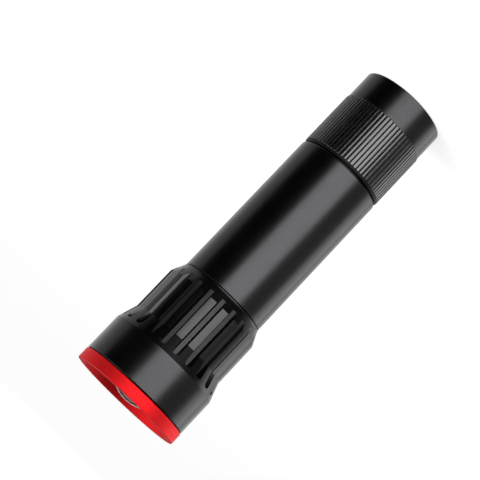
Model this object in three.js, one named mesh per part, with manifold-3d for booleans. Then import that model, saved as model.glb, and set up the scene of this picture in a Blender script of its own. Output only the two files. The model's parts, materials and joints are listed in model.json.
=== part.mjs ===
// A push-pull zoom flashlight on three AAA cells: black anodised barrel, slotted zoom head, red bezel with a
// domed lens, and a knurled screw-on tail cap that holds the push switch.
// Millimetres. The light stands on its tail end: the origin is the middle of that end, +Z is the beam.
import * as THREE from 'three';
import { mergeVertices } from 'three/addons/utils/BufferGeometryUtils.js';
import Module from 'manifold-3d';

const wasm = await Module();
wasm.setup();

// Roundness and small fits shared by all pieces
const SIDES = 32;
const INNER_SIDES = 20;
const SMALL_SIDES = 12;
const GAP = 0.2; // between pieces that rest on each other
const EDGE = 0.35; // broken outer edges
const LEAD = 0.3; // lead-in chamfers
const SINK = 0.3; // how deep joined solids reach into each other
const REACH = 1; // how far cutters stand out of what they cut

// AAA cells and their carrier
const CELL_COUNT = 3;
const CELL_DIAMETER = 10.1;
const CELL_LENGTH = 44.5; // over the nub
const CELL_NUB_DIAMETER = 3.8;
const CELL_NUB_HEIGHT = 1;
const CELL_EDGE = 0.5;
const CELL_SPACING = 0.15;
const CARRIER_DISC = 2.2;
const CARRIER_CLEARANCE = 0.2;
const CARRIER_RIB_DEPTH = 2.4;
const CARRIER_RIB_ANGLE = 30; // degrees of arc
const PLATE_THICKNESS = 0.4;
const PLATE_PAD_DIAMETER = 5.6;
const PLATE_WIDTH = 2.4;
const RIVET_DIAMETER = 2;
const RIVET_HEAD_DIAMETER = 3;
const RIVET_CLEARANCE = 0.15;
const REAR_CONTACT_DIAMETER = 11;
const REAR_CONTACT_THICKNESS = 0.5;
const FRONT_BUTTON_DIAMETER = 6;
const FRONT_BUTTON_HEIGHT = 1;
const CELL_SPRING_HEIGHT = 1.6;
const CELL_SPRING_WIDE = 4.4;
const CELL_SPRING_NARROW = 3;
const CELL_SPRING_TURNS = 2;
const CELL_SPRING_WIRE = 0.4;

// Barrel
const BARREL_WALL = 3.12;
const SPIGOT_WALL = 0.75; // behind the thread's root
const NECK_WALL = 1.6;
const NECK_START = 0.6; // from the pill's rear end to the shoulder under the head

// Thread between barrel and tail cap, right-handed
const THREAD_PITCH = 1.5;
const THREAD_DEPTH = 0.5;
const THREAD_ROOT_WIDTH = 0.85;
const THREAD_CREST_WIDTH = 0.35;
const THREAD_CLEARANCE = 0.2;
const THREAD_FADE = 0.35; // of a turn, at each end
const THREAD_RELIEF = 0.8; // plain length at each end of the thread
const THREAD_STEPS = 20; // per turn

// O-rings in their grooves
const SEAL_STEP = 0.3; // from the thread's crest up to the land that carries the tail O-ring
const SEAL_CLEARANCE = 0.2;
const SEAL_LENGTH = 3.7;
const SEAL_SET_BACK = 1.4; // from the cap's front end to the tail O-ring's groove
const TAIL_GROOVE_DEPTH = 0.8;
const NECK_GROOVE_DEPTH = 0.9;
const LENS_RING_SECTION = 0.9;
const RING_CLEARANCE = 0.1;
const GROOVE_ROOM = 0.4; // groove width beyond the ring's section
const RING_SIDES = 6;

// Tail cap
const CAP_BAND_LENGTH = 9.6;
const CAP_KNURL_LENGTH = 18.3;
const CAP_COLLAR_LENGTH = 0.8;
const CAP_GAP = 0.6; // dark line between cap and barrel
const CAP_WALL = 1.42; // between the thread and the knurl's grooves
const CAP_BAND_STEP = 0.03; // band and collar below the knurl's grooves
const KNURL_TEETH = 68;
const KNURL_DEPTH = 0.22;
const KNURL_GROOVE = 0.56;
const KNURL_GROOVE_FLOOR = 0.36;
const RECESS_DIAMETER = 19.2;
const RECESS_DEPTH = 1.8;
const END_WALL = 2.2;

// Push switch
const BUTTON_DIAMETER = 13.9;
const BUTTON_CLEARANCE = 0.25;
const BUTTON_SET_BACK = 0.5;
const BUTTON_CROWN = 0.9;
const BUTTON_FLANGE = 2.3; // how far the flange stands out
const BUTTON_FLANGE_THICKNESS = 1.4;
const BUTTON_TRAVEL = 1.6;
const TRAVEL_MARGIN = 0.3;
const SWITCH_DIAMETER = 22.4;
const SWITCH_BODY_DIAMETER = 16.4;
const SWITCH_FLANGE = 1.5;
const SWITCH_HEIGHT = 6.8;
const SWITCH_WALL = 1.2;
const PLUNGER_DIAMETER = 4.4;
const PLUNGER_CLEARANCE = 0.3;
const PLUNGER_COLLAR = 1; // how far its collar stands out
const PLUNGER_COLLAR_HEIGHT = 1.2;
const RETURN_SPRING_DIAMETER = 4.6;
const RETURN_SPRING_TURNS = 2.5;
const RETURN_SPRING_WIRE = 0.35;
const SWITCH_BOARD_THICKNESS = 1.2;
const RETAINER_THICKNESS = 1.2;
const RETAINER_BORE = 17.6;
const TAIL_SPRING_HEIGHT = 5.2;
const TAIL_SPRING_WIDE = 11;
const TAIL_SPRING_NARROW = 6.4;
const TAIL_SPRING_TURNS = 4;
const TAIL_SPRING_WIRE = 0.9;

// Driver and heat-sink pill
const DRIVER_SPRING_HEIGHT = 3.9;
const DRIVER_SPRING_WIDE = 8;
const DRIVER_SPRING_NARROW = 4.4;
const DRIVER_SPRING_TURNS = 3;
const DRIVER_SPRING_WIRE = 0.7;
const DRIVER_BOARD_THICKNESS = 1.2;
const PILL_FIT = 0.15;
const PILL_WALL = 2;
const PILL_LEDGE = 0.9; // under the driver board's rim
const PILL_SKIRT = 0.3; // past the driver board
const PILL_TOP = 6;
const PILL_FLANGE_THICKNESS = 1.5;
const STOP_STEP = 0.9; // how far the flange reaches past the head's guide bore
const INDUCTOR_DIAMETER = 6;
const INDUCTOR_HEIGHT = 3.4;
const INDUCTOR_WAIST = 0.8;
const INDUCTOR_RIM = 0.7;
const INDUCTOR_OFFSET = 3.6;
const CHIP_LENGTH = 5;
const CHIP_WIDTH = 4;
const CHIP_HEIGHT = 1.5;
const CHIP_OFFSET = -4;

// LED on its board
const LED_GAP = 3.4; // from the LED's dome to the lens, head pushed back
const LED_SIZE = 3.5;
const LED_BASE = 0.8;
const LED_DOME_RADIUS = 1.45;
const LED_BOARD_DIAMETER = 16;
const LED_BOARD_THICKNESS = 1.6;
const SCREW_EDGE = 2; // from the board's rim to the screws' middle
const SCREW_DIAMETER = 1.8;
const SCREW_HEAD_DIAMETER = 3.4;
const SCREW_HEAD_HEIGHT = 1;
const SCREW_LENGTH = 4.6;
const SCREW_CLEARANCE = 0.2;
const WIRE_EDGE = 1.7; // from the board's rim to the wires' middle
const WIRE_DIAMETER = 1.2;
const WIRE_CLEARANCE = 0.4;
const WIRE_BEND = 1.2;
const WIRE_END = 3.4; // from the axis

// Zoom head
const ZOOM_TRAVEL = 8;
const STOP_MARGIN = 0.5;
const SLIDE_CLEARANCE = 0.2;
const HEAD_GAP = 0.3; // dark line between head and barrel
const HEAD_REAR_WALL = 1.57;
const HEAD_REAR_TAPER = 4.3;
const HEAD_SLOT_BAND = 14.37;
const HEAD_FRONT_TAPER = 6.06;
const HEAD_FRONT_BAND = 12.27;
const HEAD_FRONT_WALL = 1.94;
const CHAMBER_CLEARANCE = 0.3;
const SLOT_COUNT = 22;
const SLOT_WIDTH = 2.4;
const SLOT_DEPTH = 0.91;
const SLOT_WALL = 1.29; // left under the slots
const SLOT_MARGIN = 1.2; // from the slots' round ends to the front band
const SLOT_PHASE = -94; // degrees from +X of one slot's middle
const SLOT_ARC_STEPS = 3;

// Bezel and lens
const BEZEL_SEAM = 0.2;
const BEZEL_BAND = 3.71;
const BEZEL_STEP = 0.1; // proud of the head
const BEZEL_RIM = 1.9; // from the outside to the dish
const BEZEL_EDGE = 0.25;
const BEZEL_SKIRT_WALL = 2.1;
const BEZEL_SKIRT_OVERHANG = 0.2;
const BEZEL_LIP = 0.7;
const BEZEL_FIT = 0.2;
const LENS_DOME_DIAMETER = 24.8;
const LENS_APEX_RADIUS = 10.9;
const LENS_SET_BACK = 0.2; // below the bezel's rim
const LENS_FLANGE = 1.5; // how far the flange stands out
const LENS_FLANGE_THICKNESS = 1.6;
const LENS_SHOULDER = 1.25; // from the flange to the foot of the dome
const LENS_STEPS = 6;
const LENS_RETAINER_WIDTH = 2.2;
const LENS_RETAINER_THICKNESS = 1.8;

// Radii from the cells outwards
const cellRadius = CELL_DIAMETER / 2;
const cellCircle = (CELL_DIAMETER + CELL_SPACING) / 2 / Math.sin(Math.PI / CELL_COUNT);
const carrierRadius = cellCircle + cellRadius;
const boreRadius = carrierRadius + CARRIER_CLEARANCE;
const barrelRadius = boreRadius + BARREL_WALL;
const neckRadius = boreRadius + NECK_WALL;
const threadRoot = boreRadius + SPIGOT_WALL;
const threadCrest = threadRoot + THREAD_DEPTH;
const capThreadMinor = threadRoot + THREAD_CLEARANCE;
const capThreadMajor = threadCrest + THREAD_CLEARANCE;
const sealLandRadius = threadCrest + SEAL_STEP;
const sealBoreRadius = sealLandRadius + SEAL_CLEARANCE;
const knurlFloor = capThreadMajor + CAP_WALL;
const knurlCrest = knurlFloor + KNURL_DEPTH;
const capBandRadius = knurlFloor - CAP_BAND_STEP;
const guideRadius = neckRadius + SLIDE_CLEARANCE;
const headRearRadius = guideRadius + HEAD_REAR_WALL;
const stopRadius = guideRadius + STOP_STEP;
const chamberRadius = stopRadius + CHAMBER_CLEARANCE;
const slotFloor = chamberRadius + SLOT_WALL;
const headLandRadius = slotFloor + SLOT_DEPTH;
const lensDomeRadius = LENS_DOME_DIAMETER / 2;
const lensFlangeRadius = lensDomeRadius + LENS_FLANGE;
const bezelBayRadius = lensFlangeRadius + BEZEL_FIT;
const bezelSkirtRadius = bezelBayRadius + BEZEL_SKIRT_WALL;
const headFrontBore = bezelSkirtRadius + BEZEL_FIT;
const headFrontRadius = headFrontBore + HEAD_FRONT_WALL;
const bezelRadius = headFrontRadius + BEZEL_STEP;
const pillRadius = boreRadius - PILL_FIT;
const driverRadius = pillRadius - PILL_WALL + PILL_LEDGE;

// Stations along the axis, from the tail end up
const switchFloor = RECESS_DEPTH + END_WALL;
const buttonFlangeRear = switchFloor + GAP;
const buttonFlangeFront = buttonFlangeRear + BUTTON_FLANGE_THICKNESS;
const switchRear = buttonFlangeFront + BUTTON_TRAVEL + TRAVEL_MARGIN;
const switchFront = switchRear + SWITCH_HEIGHT;
const switchBoardRear = switchFront + GAP;
const switchBoardFront = switchBoardRear + SWITCH_BOARD_THICKNESS;
const retainerRear = switchBoardFront + GAP;
const retainerFront = retainerRear + RETAINER_THICKNESS;
const barrelRear = retainerFront + GAP;
const tailSpringRear = switchBoardFront + GAP;
const rearContactRear = tailSpringRear + TAIL_SPRING_HEIGHT + GAP;
const rearContactFront = rearContactRear + REAR_CONTACT_THICKNESS;
const rearDiscRear = rearContactFront + GAP;
const rearDiscFront = rearDiscRear + CARRIER_DISC;
const contactRoom = GAP + PLATE_THICKNESS + GAP;
const cellRoom = 2 * contactRoom + CELL_SPRING_HEIGHT + GAP + CELL_LENGTH;
const frontDiscRear = rearDiscFront + cellRoom;
const frontDiscFront = frontDiscRear + CARRIER_DISC;
const frontButtonRear = frontDiscFront + GAP;
const frontButtonFront = frontButtonRear + FRONT_BUTTON_HEIGHT;
const driverSpringRear = frontButtonFront + GAP;
const driverBoardRear = driverSpringRear + DRIVER_SPRING_HEIGHT + GAP;
const driverBoardFront = driverBoardRear + DRIVER_BOARD_THICKNESS;
const pillRear = driverBoardRear - PILL_SKIRT;
const barrelShoulder = pillRear + NECK_START;
const capKnurlEnd = CAP_BAND_LENGTH + CAP_KNURL_LENGTH;
const capFront = capKnurlEnd + CAP_COLLAR_LENGTH;
const gripRear = capFront + CAP_GAP;
const sealStart = capFront - SEAL_LENGTH;
const headRear = barrelShoulder + HEAD_GAP;
const headLandRear = headRear + HEAD_REAR_TAPER;
const headLandFront = headLandRear + HEAD_SLOT_BAND;
const headBandRear = headLandFront + HEAD_FRONT_TAPER;
const headFront = headBandRear + HEAD_FRONT_BAND;
const bezelBandRear = headFront + BEZEL_SEAM;
const bezelFront = bezelBandRear + BEZEL_BAND;
const lensApex = bezelFront - LENS_SET_BACK;
const lensDomeFoot = lensApex - lensDomeRadius ** 2 / (2 * LENS_APEX_RADIUS);
const lensFlangeFront = lensDomeFoot - LENS_SHOULDER;
const lensRear = lensFlangeFront - LENS_FLANGE_THICKNESS;
const lensRingMiddle = lensFlangeFront + RING_CLEARANCE + LENS_RING_SECTION / 2;
const lipRear = lensRingMiddle + LENS_RING_SECTION / 2 + RING_CLEARANCE;
const lipFront = lipRear + BEZEL_LIP;
const lensRetainerFront = lensRear - GAP;
const lensRetainerRear = lensRetainerFront - LENS_RETAINER_THICKNESS;
const bezelSkirtRear = lensRetainerRear - BEZEL_SKIRT_OVERHANG;
const headFrontBoreRear = bezelSkirtRear - HEAD_GAP;
const ledTop = lensRear - LED_GAP;
const ledBaseFront = ledTop - LED_DOME_RADIUS;
const ledBaseRear = ledBaseFront - LED_BASE;
const ledBoardFront = ledBaseRear - GAP;
const ledBoardRear = ledBoardFront - LED_BOARD_THICKNESS;
const pillFlangeFront = ledBoardRear - GAP;
const pillFlangeRear = pillFlangeFront - PILL_FLANGE_THICKNESS;
const pillTopRear = pillFlangeFront - PILL_TOP;
const neckFront = pillFlangeRear - GAP;
const guideFront = pillFlangeRear - STOP_MARGIN - ZOOM_TRAVEL;

// Finishes
const finish = (color, roughness, metalness) =>
  new THREE.MeshStandardMaterial({ color, roughness, metalness });
const blackAnodised = finish('#141416', 0.38, 0.9);
const redAnodised = finish('#d3141c', 0.35, 0.9);
const clearAcrylic = new THREE.MeshStandardMaterial({
  color: '#f4f6f8',
  roughness: 0.03,
  metalness: 0,
  transparent: true,
  opacity: 0.35,
});
const rawAluminium = finish('#b9bcc0', 0.4, 1);
const blackRubber = finish('#1a1a1b', 0.8, 0);
const blackPlastic = finish('#1d1e20', 0.55, 0);
const whiteBoard = finish('#eceae4', 0.5, 0);
const greenBoard = finish('#1f5a38', 0.5, 0);
const springSteel = finish('#a9acb0', 0.3, 1);
const brassPlate = finish('#b8903f', 0.35, 1);
const cellJacket = finish('#5d6a72', 0.4, 0.2);
const redJacket = finish('#b3201c', 0.5, 0);
const phosphor = finish('#efe6a2', 0.4, 0);

// A closed mesh as a solid that can be joined and cut
function solid(geometry) {
  const loose = geometry.index ? geometry.toNonIndexed() : geometry.clone();
  loose.deleteAttribute('normal');
  loose.deleteAttribute('uv');
  const merged = mergeVertices(loose);
  const points = merged.getAttribute('position');
  const corners = [new THREE.Vector3(), new THREE.Vector3(), new THREE.Vector3()];
  const triangles = [];
  let volume = 0;
  for (let i = 0; i < merged.index.count; i += 3) {
    const [a, b, c] = [0, 1, 2].map((k) => merged.index.getX(i + k));
    if (a === b || b === c || c === a) continue;
    triangles.push([a, b, c]);
    [a, b, c].forEach((n, k) => corners[k].fromBufferAttribute(points, n));
    volume += corners[0].dot(corners[1].clone().cross(corners[2]));
  }
  const triVerts = new Uint32Array(triangles.flatMap(([a, b, c]) => (volume < 0 ? [a, c, b] : [a, b, c])));
  const vertProperties = new Float32Array(points.array);
  return new wasm.Manifold(new wasm.Mesh({ numProp: 3, vertProperties, triVerts }));
}

// A piece turned about Z from a closed outline of [radius, height] points
function turned(outline, sides = SIDES) {
  const points = [...outline, outline[0]].map(([r, z]) => new THREE.Vector2(r, z));
  return solid(new THREE.LatheGeometry(points, sides).rotateX(Math.PI / 2));
}

// A plain turned ring, or a disc where the bore is 0
function ring(bore, outer, rear, front, sides = INNER_SIDES) {
  return turned([[bore, rear], [outer, rear], [outer, front], [bore, front]], sides);
}

// A flat outline raised along Z
function raised(shape, rear, front) {
  const geometry = new THREE.ExtrudeGeometry(shape, { depth: front - rear, bevelEnabled: false });
  return solid(geometry.translate(0, 0, rear));
}

// A round wire along a curve
function wireAlong(curve, diameter, steps, sides) {
  const section = new THREE.Shape();
  for (let i = 0; i < sides; i += 1) {
    const angle = (2 * Math.PI * i) / sides;
    const x = (diameter / 2) * Math.cos(angle);
    const y = (diameter / 2) * Math.sin(angle);
    if (i === 0) section.moveTo(x, y);
    else section.lineTo(x, y);
  }
  section.closePath();
  const options = { steps, extrudePath: curve, bevelEnabled: false, curveSegments: 1 };
  return solid(new THREE.ExtrudeGeometry(section, options));
}

// A cone-shaped coil whose wire lies between two heights
class Coil extends THREE.Curve {
  constructor(rear, front, rearDiameter, frontDiameter, turns, wire) {
    super();
    Object.assign(this, { rear, front, rearDiameter, frontDiameter, turns, wire });
  }

  getPoint(t, target = new THREE.Vector3()) {
    const angle = 2 * Math.PI * this.turns * t;
    const radius = (THREE.MathUtils.lerp(this.rearDiameter, this.frontDiameter, t) - this.wire) / 2;
    const z = THREE.MathUtils.lerp(this.rear + this.wire / 2, this.front - this.wire / 2, t);
    return target.set(radius * Math.cos(angle), radius * Math.sin(angle), z);
  }
}

const COIL_STEPS = 8; // per turn
const COIL_SIDES = 5;

function coilSpring(rear, front, rearDiameter, frontDiameter, turns, wire) {
  const curve = new Coil(rear, front, rearDiameter, frontDiameter, turns, wire);
  return wireAlong(curve, wire, Math.round(turns * COIL_STEPS), COIL_SIDES);
}

// A right-handed thread ridge between two heights, faded out at both ends
function threadRidge(root, crest, rootWidth, crestWidth, rear, front) {
  const turns = (front - rear) / THREAD_PITCH;
  const steps = Math.ceil(turns * THREAD_STEPS);
  const flank = (rootWidth - crestWidth) / 2 / (crest - root);
  const base = root - SINK;
  const baseWidth = crestWidth + 2 * flank * (crest - base);
  const positions = [];
  const index = [];
  for (let i = 0; i <= steps; i += 1) {
    const middle = rear + ((front - rear) * i) / steps;
    const angle = (2 * Math.PI * middle) / THREAD_PITCH;
    const fromEnd = (Math.min(i, steps - i) / steps) * turns;
    const top = THREE.MathUtils.lerp(base + SINK / 2, crest, Math.min(1, fromEnd / THREAD_FADE));
    const corners = [
      [base, -baseWidth / 2],
      [top, -crestWidth / 2],
      [top, crestWidth / 2],
      [base, baseWidth / 2],
    ];
    corners.forEach(([r, z]) => positions.push(r * Math.cos(angle), r * Math.sin(angle), middle + z));
  }
  const count = 4;
  for (let i = 0; i < steps; i += 1) {
    for (let k = 0; k < count; k += 1) {
      const a = i * count + k;
      const b = i * count + ((k + 1) % count);
      index.push(a, b, a + count, b, b + count, a + count);
    }
  }
  const last = steps * count;
  index.push(0, 2, 1, 0, 3, 2, last, last + 1, last + 2, last, last + 2, last + 3);
  const geometry = new THREE.BufferGeometry();
  geometry.setAttribute('position', new THREE.Float32BufferAttribute(positions, 3));
  geometry.setIndex(index);
  return solid(geometry);
}

// An upright round peg or drill at [x, y]
function peg(x, y, radius, rear, front, sides = SMALL_SIDES) {
  return ring(0, radius, rear, front, sides).translate([x, y, 0]);
}

// An O-ring whose section reaches between two radii
function oRing(inner, outer, middle) {
  const section = (outer - inner) / 2;
  const centre = (outer + inner) / 2;
  const outline = [];
  for (let i = 0; i < RING_SIDES; i += 1) {
    const angle = (2 * Math.PI * i) / RING_SIDES;
    outline.push([centre + section * Math.cos(angle), middle + section * Math.sin(angle)]);
  }
  return turned(outline);
}

const flashlight = new THREE.Group();

function place(name, body, material) {
  const mesh = body.getMesh();
  const geometry = new THREE.BufferGeometry();
  geometry.setAttribute('position', new THREE.Float32BufferAttribute(mesh.vertProperties, 3));
  geometry.setIndex(Array.from(mesh.triVerts));
  geometry.computeVertexNormals();
  const piece = new THREE.Mesh(geometry, material);
  piece.name = name;
  flashlight.add(piece);
}

// Tail cap: knurl, thread, seal bore and the stepped bay for the switch
const knurlCore = capBandRadius - SINK;

function knurlOutline() {
  const shape = new THREE.Shape();
  const pitch = (2 * Math.PI) / KNURL_TEETH;
  const points = [];
  for (let i = 0; i < KNURL_TEETH; i += 1) {
    const middle = i * pitch;
    const floorHalf = KNURL_GROOVE_FLOOR / 2 / knurlFloor;
    const crestHalf = KNURL_GROOVE / 2 / knurlCrest;
    points.push([knurlCrest, middle - crestHalf], [knurlFloor, middle - floorHalf]);
    points.push([knurlFloor, middle + floorHalf], [knurlCrest, middle + crestHalf]);
  }
  shape.setFromPoints(points.map(([r, a]) => new THREE.Vector2(r * Math.cos(a), r * Math.sin(a))));
  const inner = knurlCore - SINK / 2;
  const hole = new THREE.Path();
  const holePoints = [];
  for (let i = 0; i < SIDES; i += 1) {
    const angle = (2 * Math.PI * i) / SIDES;
    holePoints.push(new THREE.Vector2(inner * Math.cos(angle), inner * Math.sin(angle)));
  }
  hole.setFromPoints(holePoints);
  shape.holes.push(hole);
  return shape;
}

const buttonBayRadius = BUTTON_DIAMETER / 2 + BUTTON_FLANGE + BUTTON_CLEARANCE;
const buttonHoleRadius = BUTTON_DIAMETER / 2 + BUTTON_CLEARANCE;
const switchBayRadius = SWITCH_DIAMETER / 2 + BUTTON_CLEARANCE;
const threadRear = barrelRear + THREAD_RELIEF;
const threadFront = sealStart - THREAD_RELIEF;

function tailCap() {
  const ledge = switchRear - GAP;
  const recess = RECESS_DIAMETER / 2;
  const core = turned([
    [recess, 0],
    [capBandRadius - EDGE, 0],
    [capBandRadius, EDGE],
    [capBandRadius, CAP_BAND_LENGTH],
    [knurlCore, CAP_BAND_LENGTH],
    [knurlCore, capKnurlEnd],
    [capBandRadius, capKnurlEnd],
    [capBandRadius, capFront - EDGE],
    [capBandRadius - EDGE, capFront],
    [sealBoreRadius + LEAD / 2, capFront],
    [sealBoreRadius, capFront - LEAD],
    [sealBoreRadius, sealStart - LEAD],
    [capThreadMinor, sealStart - LEAD],
    [capThreadMinor, switchBoardFront],
    [switchBayRadius, switchBoardFront],
    [switchBayRadius, ledge],
    [buttonBayRadius, ledge],
    [buttonBayRadius, switchFloor],
    [buttonHoleRadius, switchFloor],
    [buttonHoleRadius, RECESS_DEPTH],
    [recess, RECESS_DEPTH],
  ]);
  const groove = threadRidge(
    capThreadMinor,
    capThreadMajor,
    THREAD_ROOT_WIDTH + 2 * THREAD_CLEARANCE,
    THREAD_CREST_WIDTH + 2 * THREAD_CLEARANCE,
    threadRear - THREAD_PITCH,
    sealStart + THREAD_PITCH,
  );
  return core.add(raised(knurlOutline(), CAP_BAND_LENGTH, capKnurlEnd)).subtract(groove);
}
place('tail_cap', tailCap(), blackAnodised);

// Push button, plunger and switch
const buttonRadius = BUTTON_DIAMETER / 2;
const buttonCrownSteps = 4;

function tailButton() {
  const outline = [];
  for (let i = 0; i <= buttonCrownSteps; i += 1) {
    const share = i / buttonCrownSteps;
    outline.push([buttonRadius * share, BUTTON_SET_BACK + BUTTON_CROWN * share ** 2]);
  }
  outline.push([buttonRadius, buttonFlangeRear]);
  outline.push([buttonRadius + BUTTON_FLANGE, buttonFlangeRear]);
  outline.push([buttonRadius + BUTTON_FLANGE, buttonFlangeFront], [0, buttonFlangeFront]);
  return turned(outline, INNER_SIDES);
}
place('tail_button', tailButton(), blackRubber);

const plungerRadius = PLUNGER_DIAMETER / 2;
const collarRear = switchRear + SWITCH_WALL + GAP;
const collarFront = collarRear + PLUNGER_COLLAR_HEIGHT;
place(
  'switch_plunger',
  turned(
    [
      [0, buttonFlangeFront + GAP],
      [plungerRadius, buttonFlangeFront + GAP],
      [plungerRadius, collarRear],
      [plungerRadius + PLUNGER_COLLAR, collarRear],
      [plungerRadius + PLUNGER_COLLAR, collarFront],
      [0, collarFront],
    ],
    SMALL_SIDES,
  ),
  whiteBoard,
);

const switchChamberFront = switchFront - SWITCH_WALL;
const switchChamberRadius = plungerRadius + PLUNGER_COLLAR + PLUNGER_CLEARANCE;
place(
  'switch_housing',
  turned(
    [
      [plungerRadius + PLUNGER_CLEARANCE, switchRear],
      [SWITCH_DIAMETER / 2, switchRear],
      [SWITCH_DIAMETER / 2, switchRear + SWITCH_FLANGE],
      [SWITCH_BODY_DIAMETER / 2, switchRear + SWITCH_FLANGE],
      [SWITCH_BODY_DIAMETER / 2, switchFront],
      [0, switchFront],
      [0, switchChamberFront],
      [switchChamberRadius, switchChamberFront],
      [switchChamberRadius, switchRear + SWITCH_WALL],
      [plungerRadius + PLUNGER_CLEARANCE, switchRear + SWITCH_WALL],
    ],
    INNER_SIDES,
  ),
  blackPlastic,
);
place(
  'switch_return_spring',
  coilSpring(
    collarFront + GAP,
    switchChamberFront - GAP,
    RETURN_SPRING_DIAMETER,
    RETURN_SPRING_DIAMETER,
    RETURN_SPRING_TURNS,
    RETURN_SPRING_WIRE,
  ),
  springSteel,
);
place('switch_board', ring(0, SWITCH_DIAMETER / 2, switchBoardRear, switchBoardFront), greenBoard);
place(
  'switch_retainer',
  ring(RETAINER_BORE / 2, threadRoot, retainerRear, retainerFront),
  rawAluminium,
);
place(
  'tail_spring',
  coilSpring(
    tailSpringRear,
    tailSpringRear + TAIL_SPRING_HEIGHT,
    TAIL_SPRING_WIDE,
    TAIL_SPRING_NARROW,
    TAIL_SPRING_TURNS,
    TAIL_SPRING_WIRE,
  ),
  springSteel,
);

// Barrel: threaded spigot, grip and the neck that the head slides on
const tailGrooveFloor = sealLandRadius - TAIL_GROOVE_DEPTH;
const tailRingSection = sealBoreRadius - tailGrooveFloor - 2 * RING_CLEARANCE;
const tailGrooveFront = capFront - SEAL_SET_BACK;
const tailGrooveRear = tailGrooveFront - tailRingSection - GROOVE_ROOM;
const neckGrooveFloor = neckRadius - NECK_GROOVE_DEPTH;
const neckRingSection = guideRadius - neckGrooveFloor - 2 * RING_CLEARANCE;
const neckRingMiddle = (headRear + ZOOM_TRAVEL + guideFront) / 2;
const neckGrooveHalf = (neckRingSection + GROOVE_ROOM) / 2;

function barrelTube() {
  const tube = turned([
    [boreRadius + LEAD, barrelRear],
    [threadRoot - LEAD / 2, barrelRear],
    [threadRoot, barrelRear + LEAD],
    [threadRoot, sealStart],
    [sealLandRadius, sealStart],
    [sealLandRadius, tailGrooveRear],
    [tailGrooveFloor, tailGrooveRear],
    [tailGrooveFloor, tailGrooveFront],
    [sealLandRadius, tailGrooveFront],
    [sealLandRadius, gripRear],
    [barrelRadius - EDGE, gripRear],
    [barrelRadius, gripRear + EDGE],
    [barrelRadius, barrelShoulder - EDGE],
    [barrelRadius - EDGE, barrelShoulder],
    [neckRadius, barrelShoulder],
    [neckRadius, neckRingMiddle - neckGrooveHalf],
    [neckGrooveFloor, neckRingMiddle - neckGrooveHalf],
    [neckGrooveFloor, neckRingMiddle + neckGrooveHalf],
    [neckRadius, neckRingMiddle + neckGrooveHalf],
    [neckRadius, neckFront - LEAD],
    [neckRadius - LEAD, neckFront],
    [boreRadius, neckFront],
    [boreRadius, barrelRear + LEAD],
  ]);
  const ridge = threadRidge(
    threadRoot,
    threadCrest,
    THREAD_ROOT_WIDTH,
    THREAD_CREST_WIDTH,
    threadRear,
    threadFront,
  );
  return tube.add(ridge);
}
place('barrel_tube', barrelTube(), blackAnodised);
place(
  'tail_o_ring',
  oRing(
    tailGrooveFloor + RING_CLEARANCE,
    sealBoreRadius - RING_CLEARANCE,
    (tailGrooveRear + tailGrooveFront) / 2,
  ),
  blackRubber,
);
place(
  'neck_o_ring',
  oRing(neckGrooveFloor + RING_CLEARANCE, guideRadius - RING_CLEARANCE, neckRingMiddle),
  blackRubber,
);

// Battery carrier: two discs on three ribs, with its contacts and cells
const cellAngle = (i) => Math.PI / 2 + (2 * Math.PI * i) / CELL_COUNT;
const cellPoint = (i) => [cellCircle * Math.cos(cellAngle(i)), cellCircle * Math.sin(cellAngle(i))];

function carrierRib(middle) {
  const half = THREE.MathUtils.degToRad(CARRIER_RIB_ANGLE) / 2;
  const shape = new THREE.Shape();
  shape.absarc(0, 0, carrierRadius, middle - half, middle + half, false);
  shape.absarc(0, 0, carrierRadius - CARRIER_RIB_DEPTH, middle + half, middle - half, true);
  const geometry = new THREE.ExtrudeGeometry(shape, {
    depth: frontDiscFront - rearDiscRear,
    bevelEnabled: false,
    curveSegments: 4,
  });
  return solid(geometry.translate(0, 0, rearDiscRear));
}

function carrierFrame() {
  const hole = RIVET_DIAMETER / 2 + RIVET_CLEARANCE;
  let frame = ring(0, carrierRadius, rearDiscRear, rearDiscFront, SIDES);
  frame = frame.add(ring(0, carrierRadius, frontDiscRear, frontDiscFront, SIDES));
  for (let i = 0; i < CELL_COUNT; i += 1) {
    frame = frame.add(carrierRib(cellAngle(i) + Math.PI / CELL_COUNT));
  }
  return frame.subtract(peg(0, 0, hole, rearDiscRear - REACH, frontDiscFront + REACH));
}
place('carrier_frame', carrierFrame(), blackPlastic);

// A flat contact strip between two points of one disc, with a round pad at each
function strip(from, to, rear, fromPad, toPad) {
  const front = rear + PLATE_THICKNESS;
  const length = Math.hypot(to[0] - from[0], to[1] - from[1]);
  const bar = new THREE.BoxGeometry(length, PLATE_WIDTH, PLATE_THICKNESS)
    .rotateZ(Math.atan2(to[1] - from[1], to[0] - from[0]))
    .translate((from[0] + to[0]) / 2, (from[1] + to[1]) / 2, (rear + front) / 2);
  const ends = [[from, fromPad], [to, toPad]];
  return ends.reduce((all, [[x, y], size]) => all.add(peg(x, y, size / 2, rear, front)), solid(bar));
}

const rearPlate = rearDiscFront + GAP;
const frontPlate = frontDiscRear - GAP - PLATE_THICKNESS;
const [firstCell, secondCell, thirdCell] = [0, 1, 2].map(cellPoint);
const axis = [0, 0];
const rivetRadius = RIVET_DIAMETER / 2;
place(
  'carrier_rear_contact',
  peg(0, 0, REAR_CONTACT_DIAMETER / 2, rearContactRear, rearContactFront, INNER_SIDES)
    .add(peg(0, 0, rivetRadius, rearContactRear, rearPlate + PLATE_THICKNESS))
    .add(strip(axis, firstCell, rearPlate, RIVET_HEAD_DIAMETER, PLATE_PAD_DIAMETER)),
  brassPlate,
);
place(
  'carrier_front_contact',
  peg(0, 0, FRONT_BUTTON_DIAMETER / 2, frontButtonRear, frontButtonFront, INNER_SIDES)
    .add(peg(0, 0, rivetRadius, frontPlate, frontButtonFront))
    .add(strip(axis, thirdCell, frontPlate, RIVET_HEAD_DIAMETER, PLATE_PAD_DIAMETER)),
  brassPlate,
);
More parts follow.
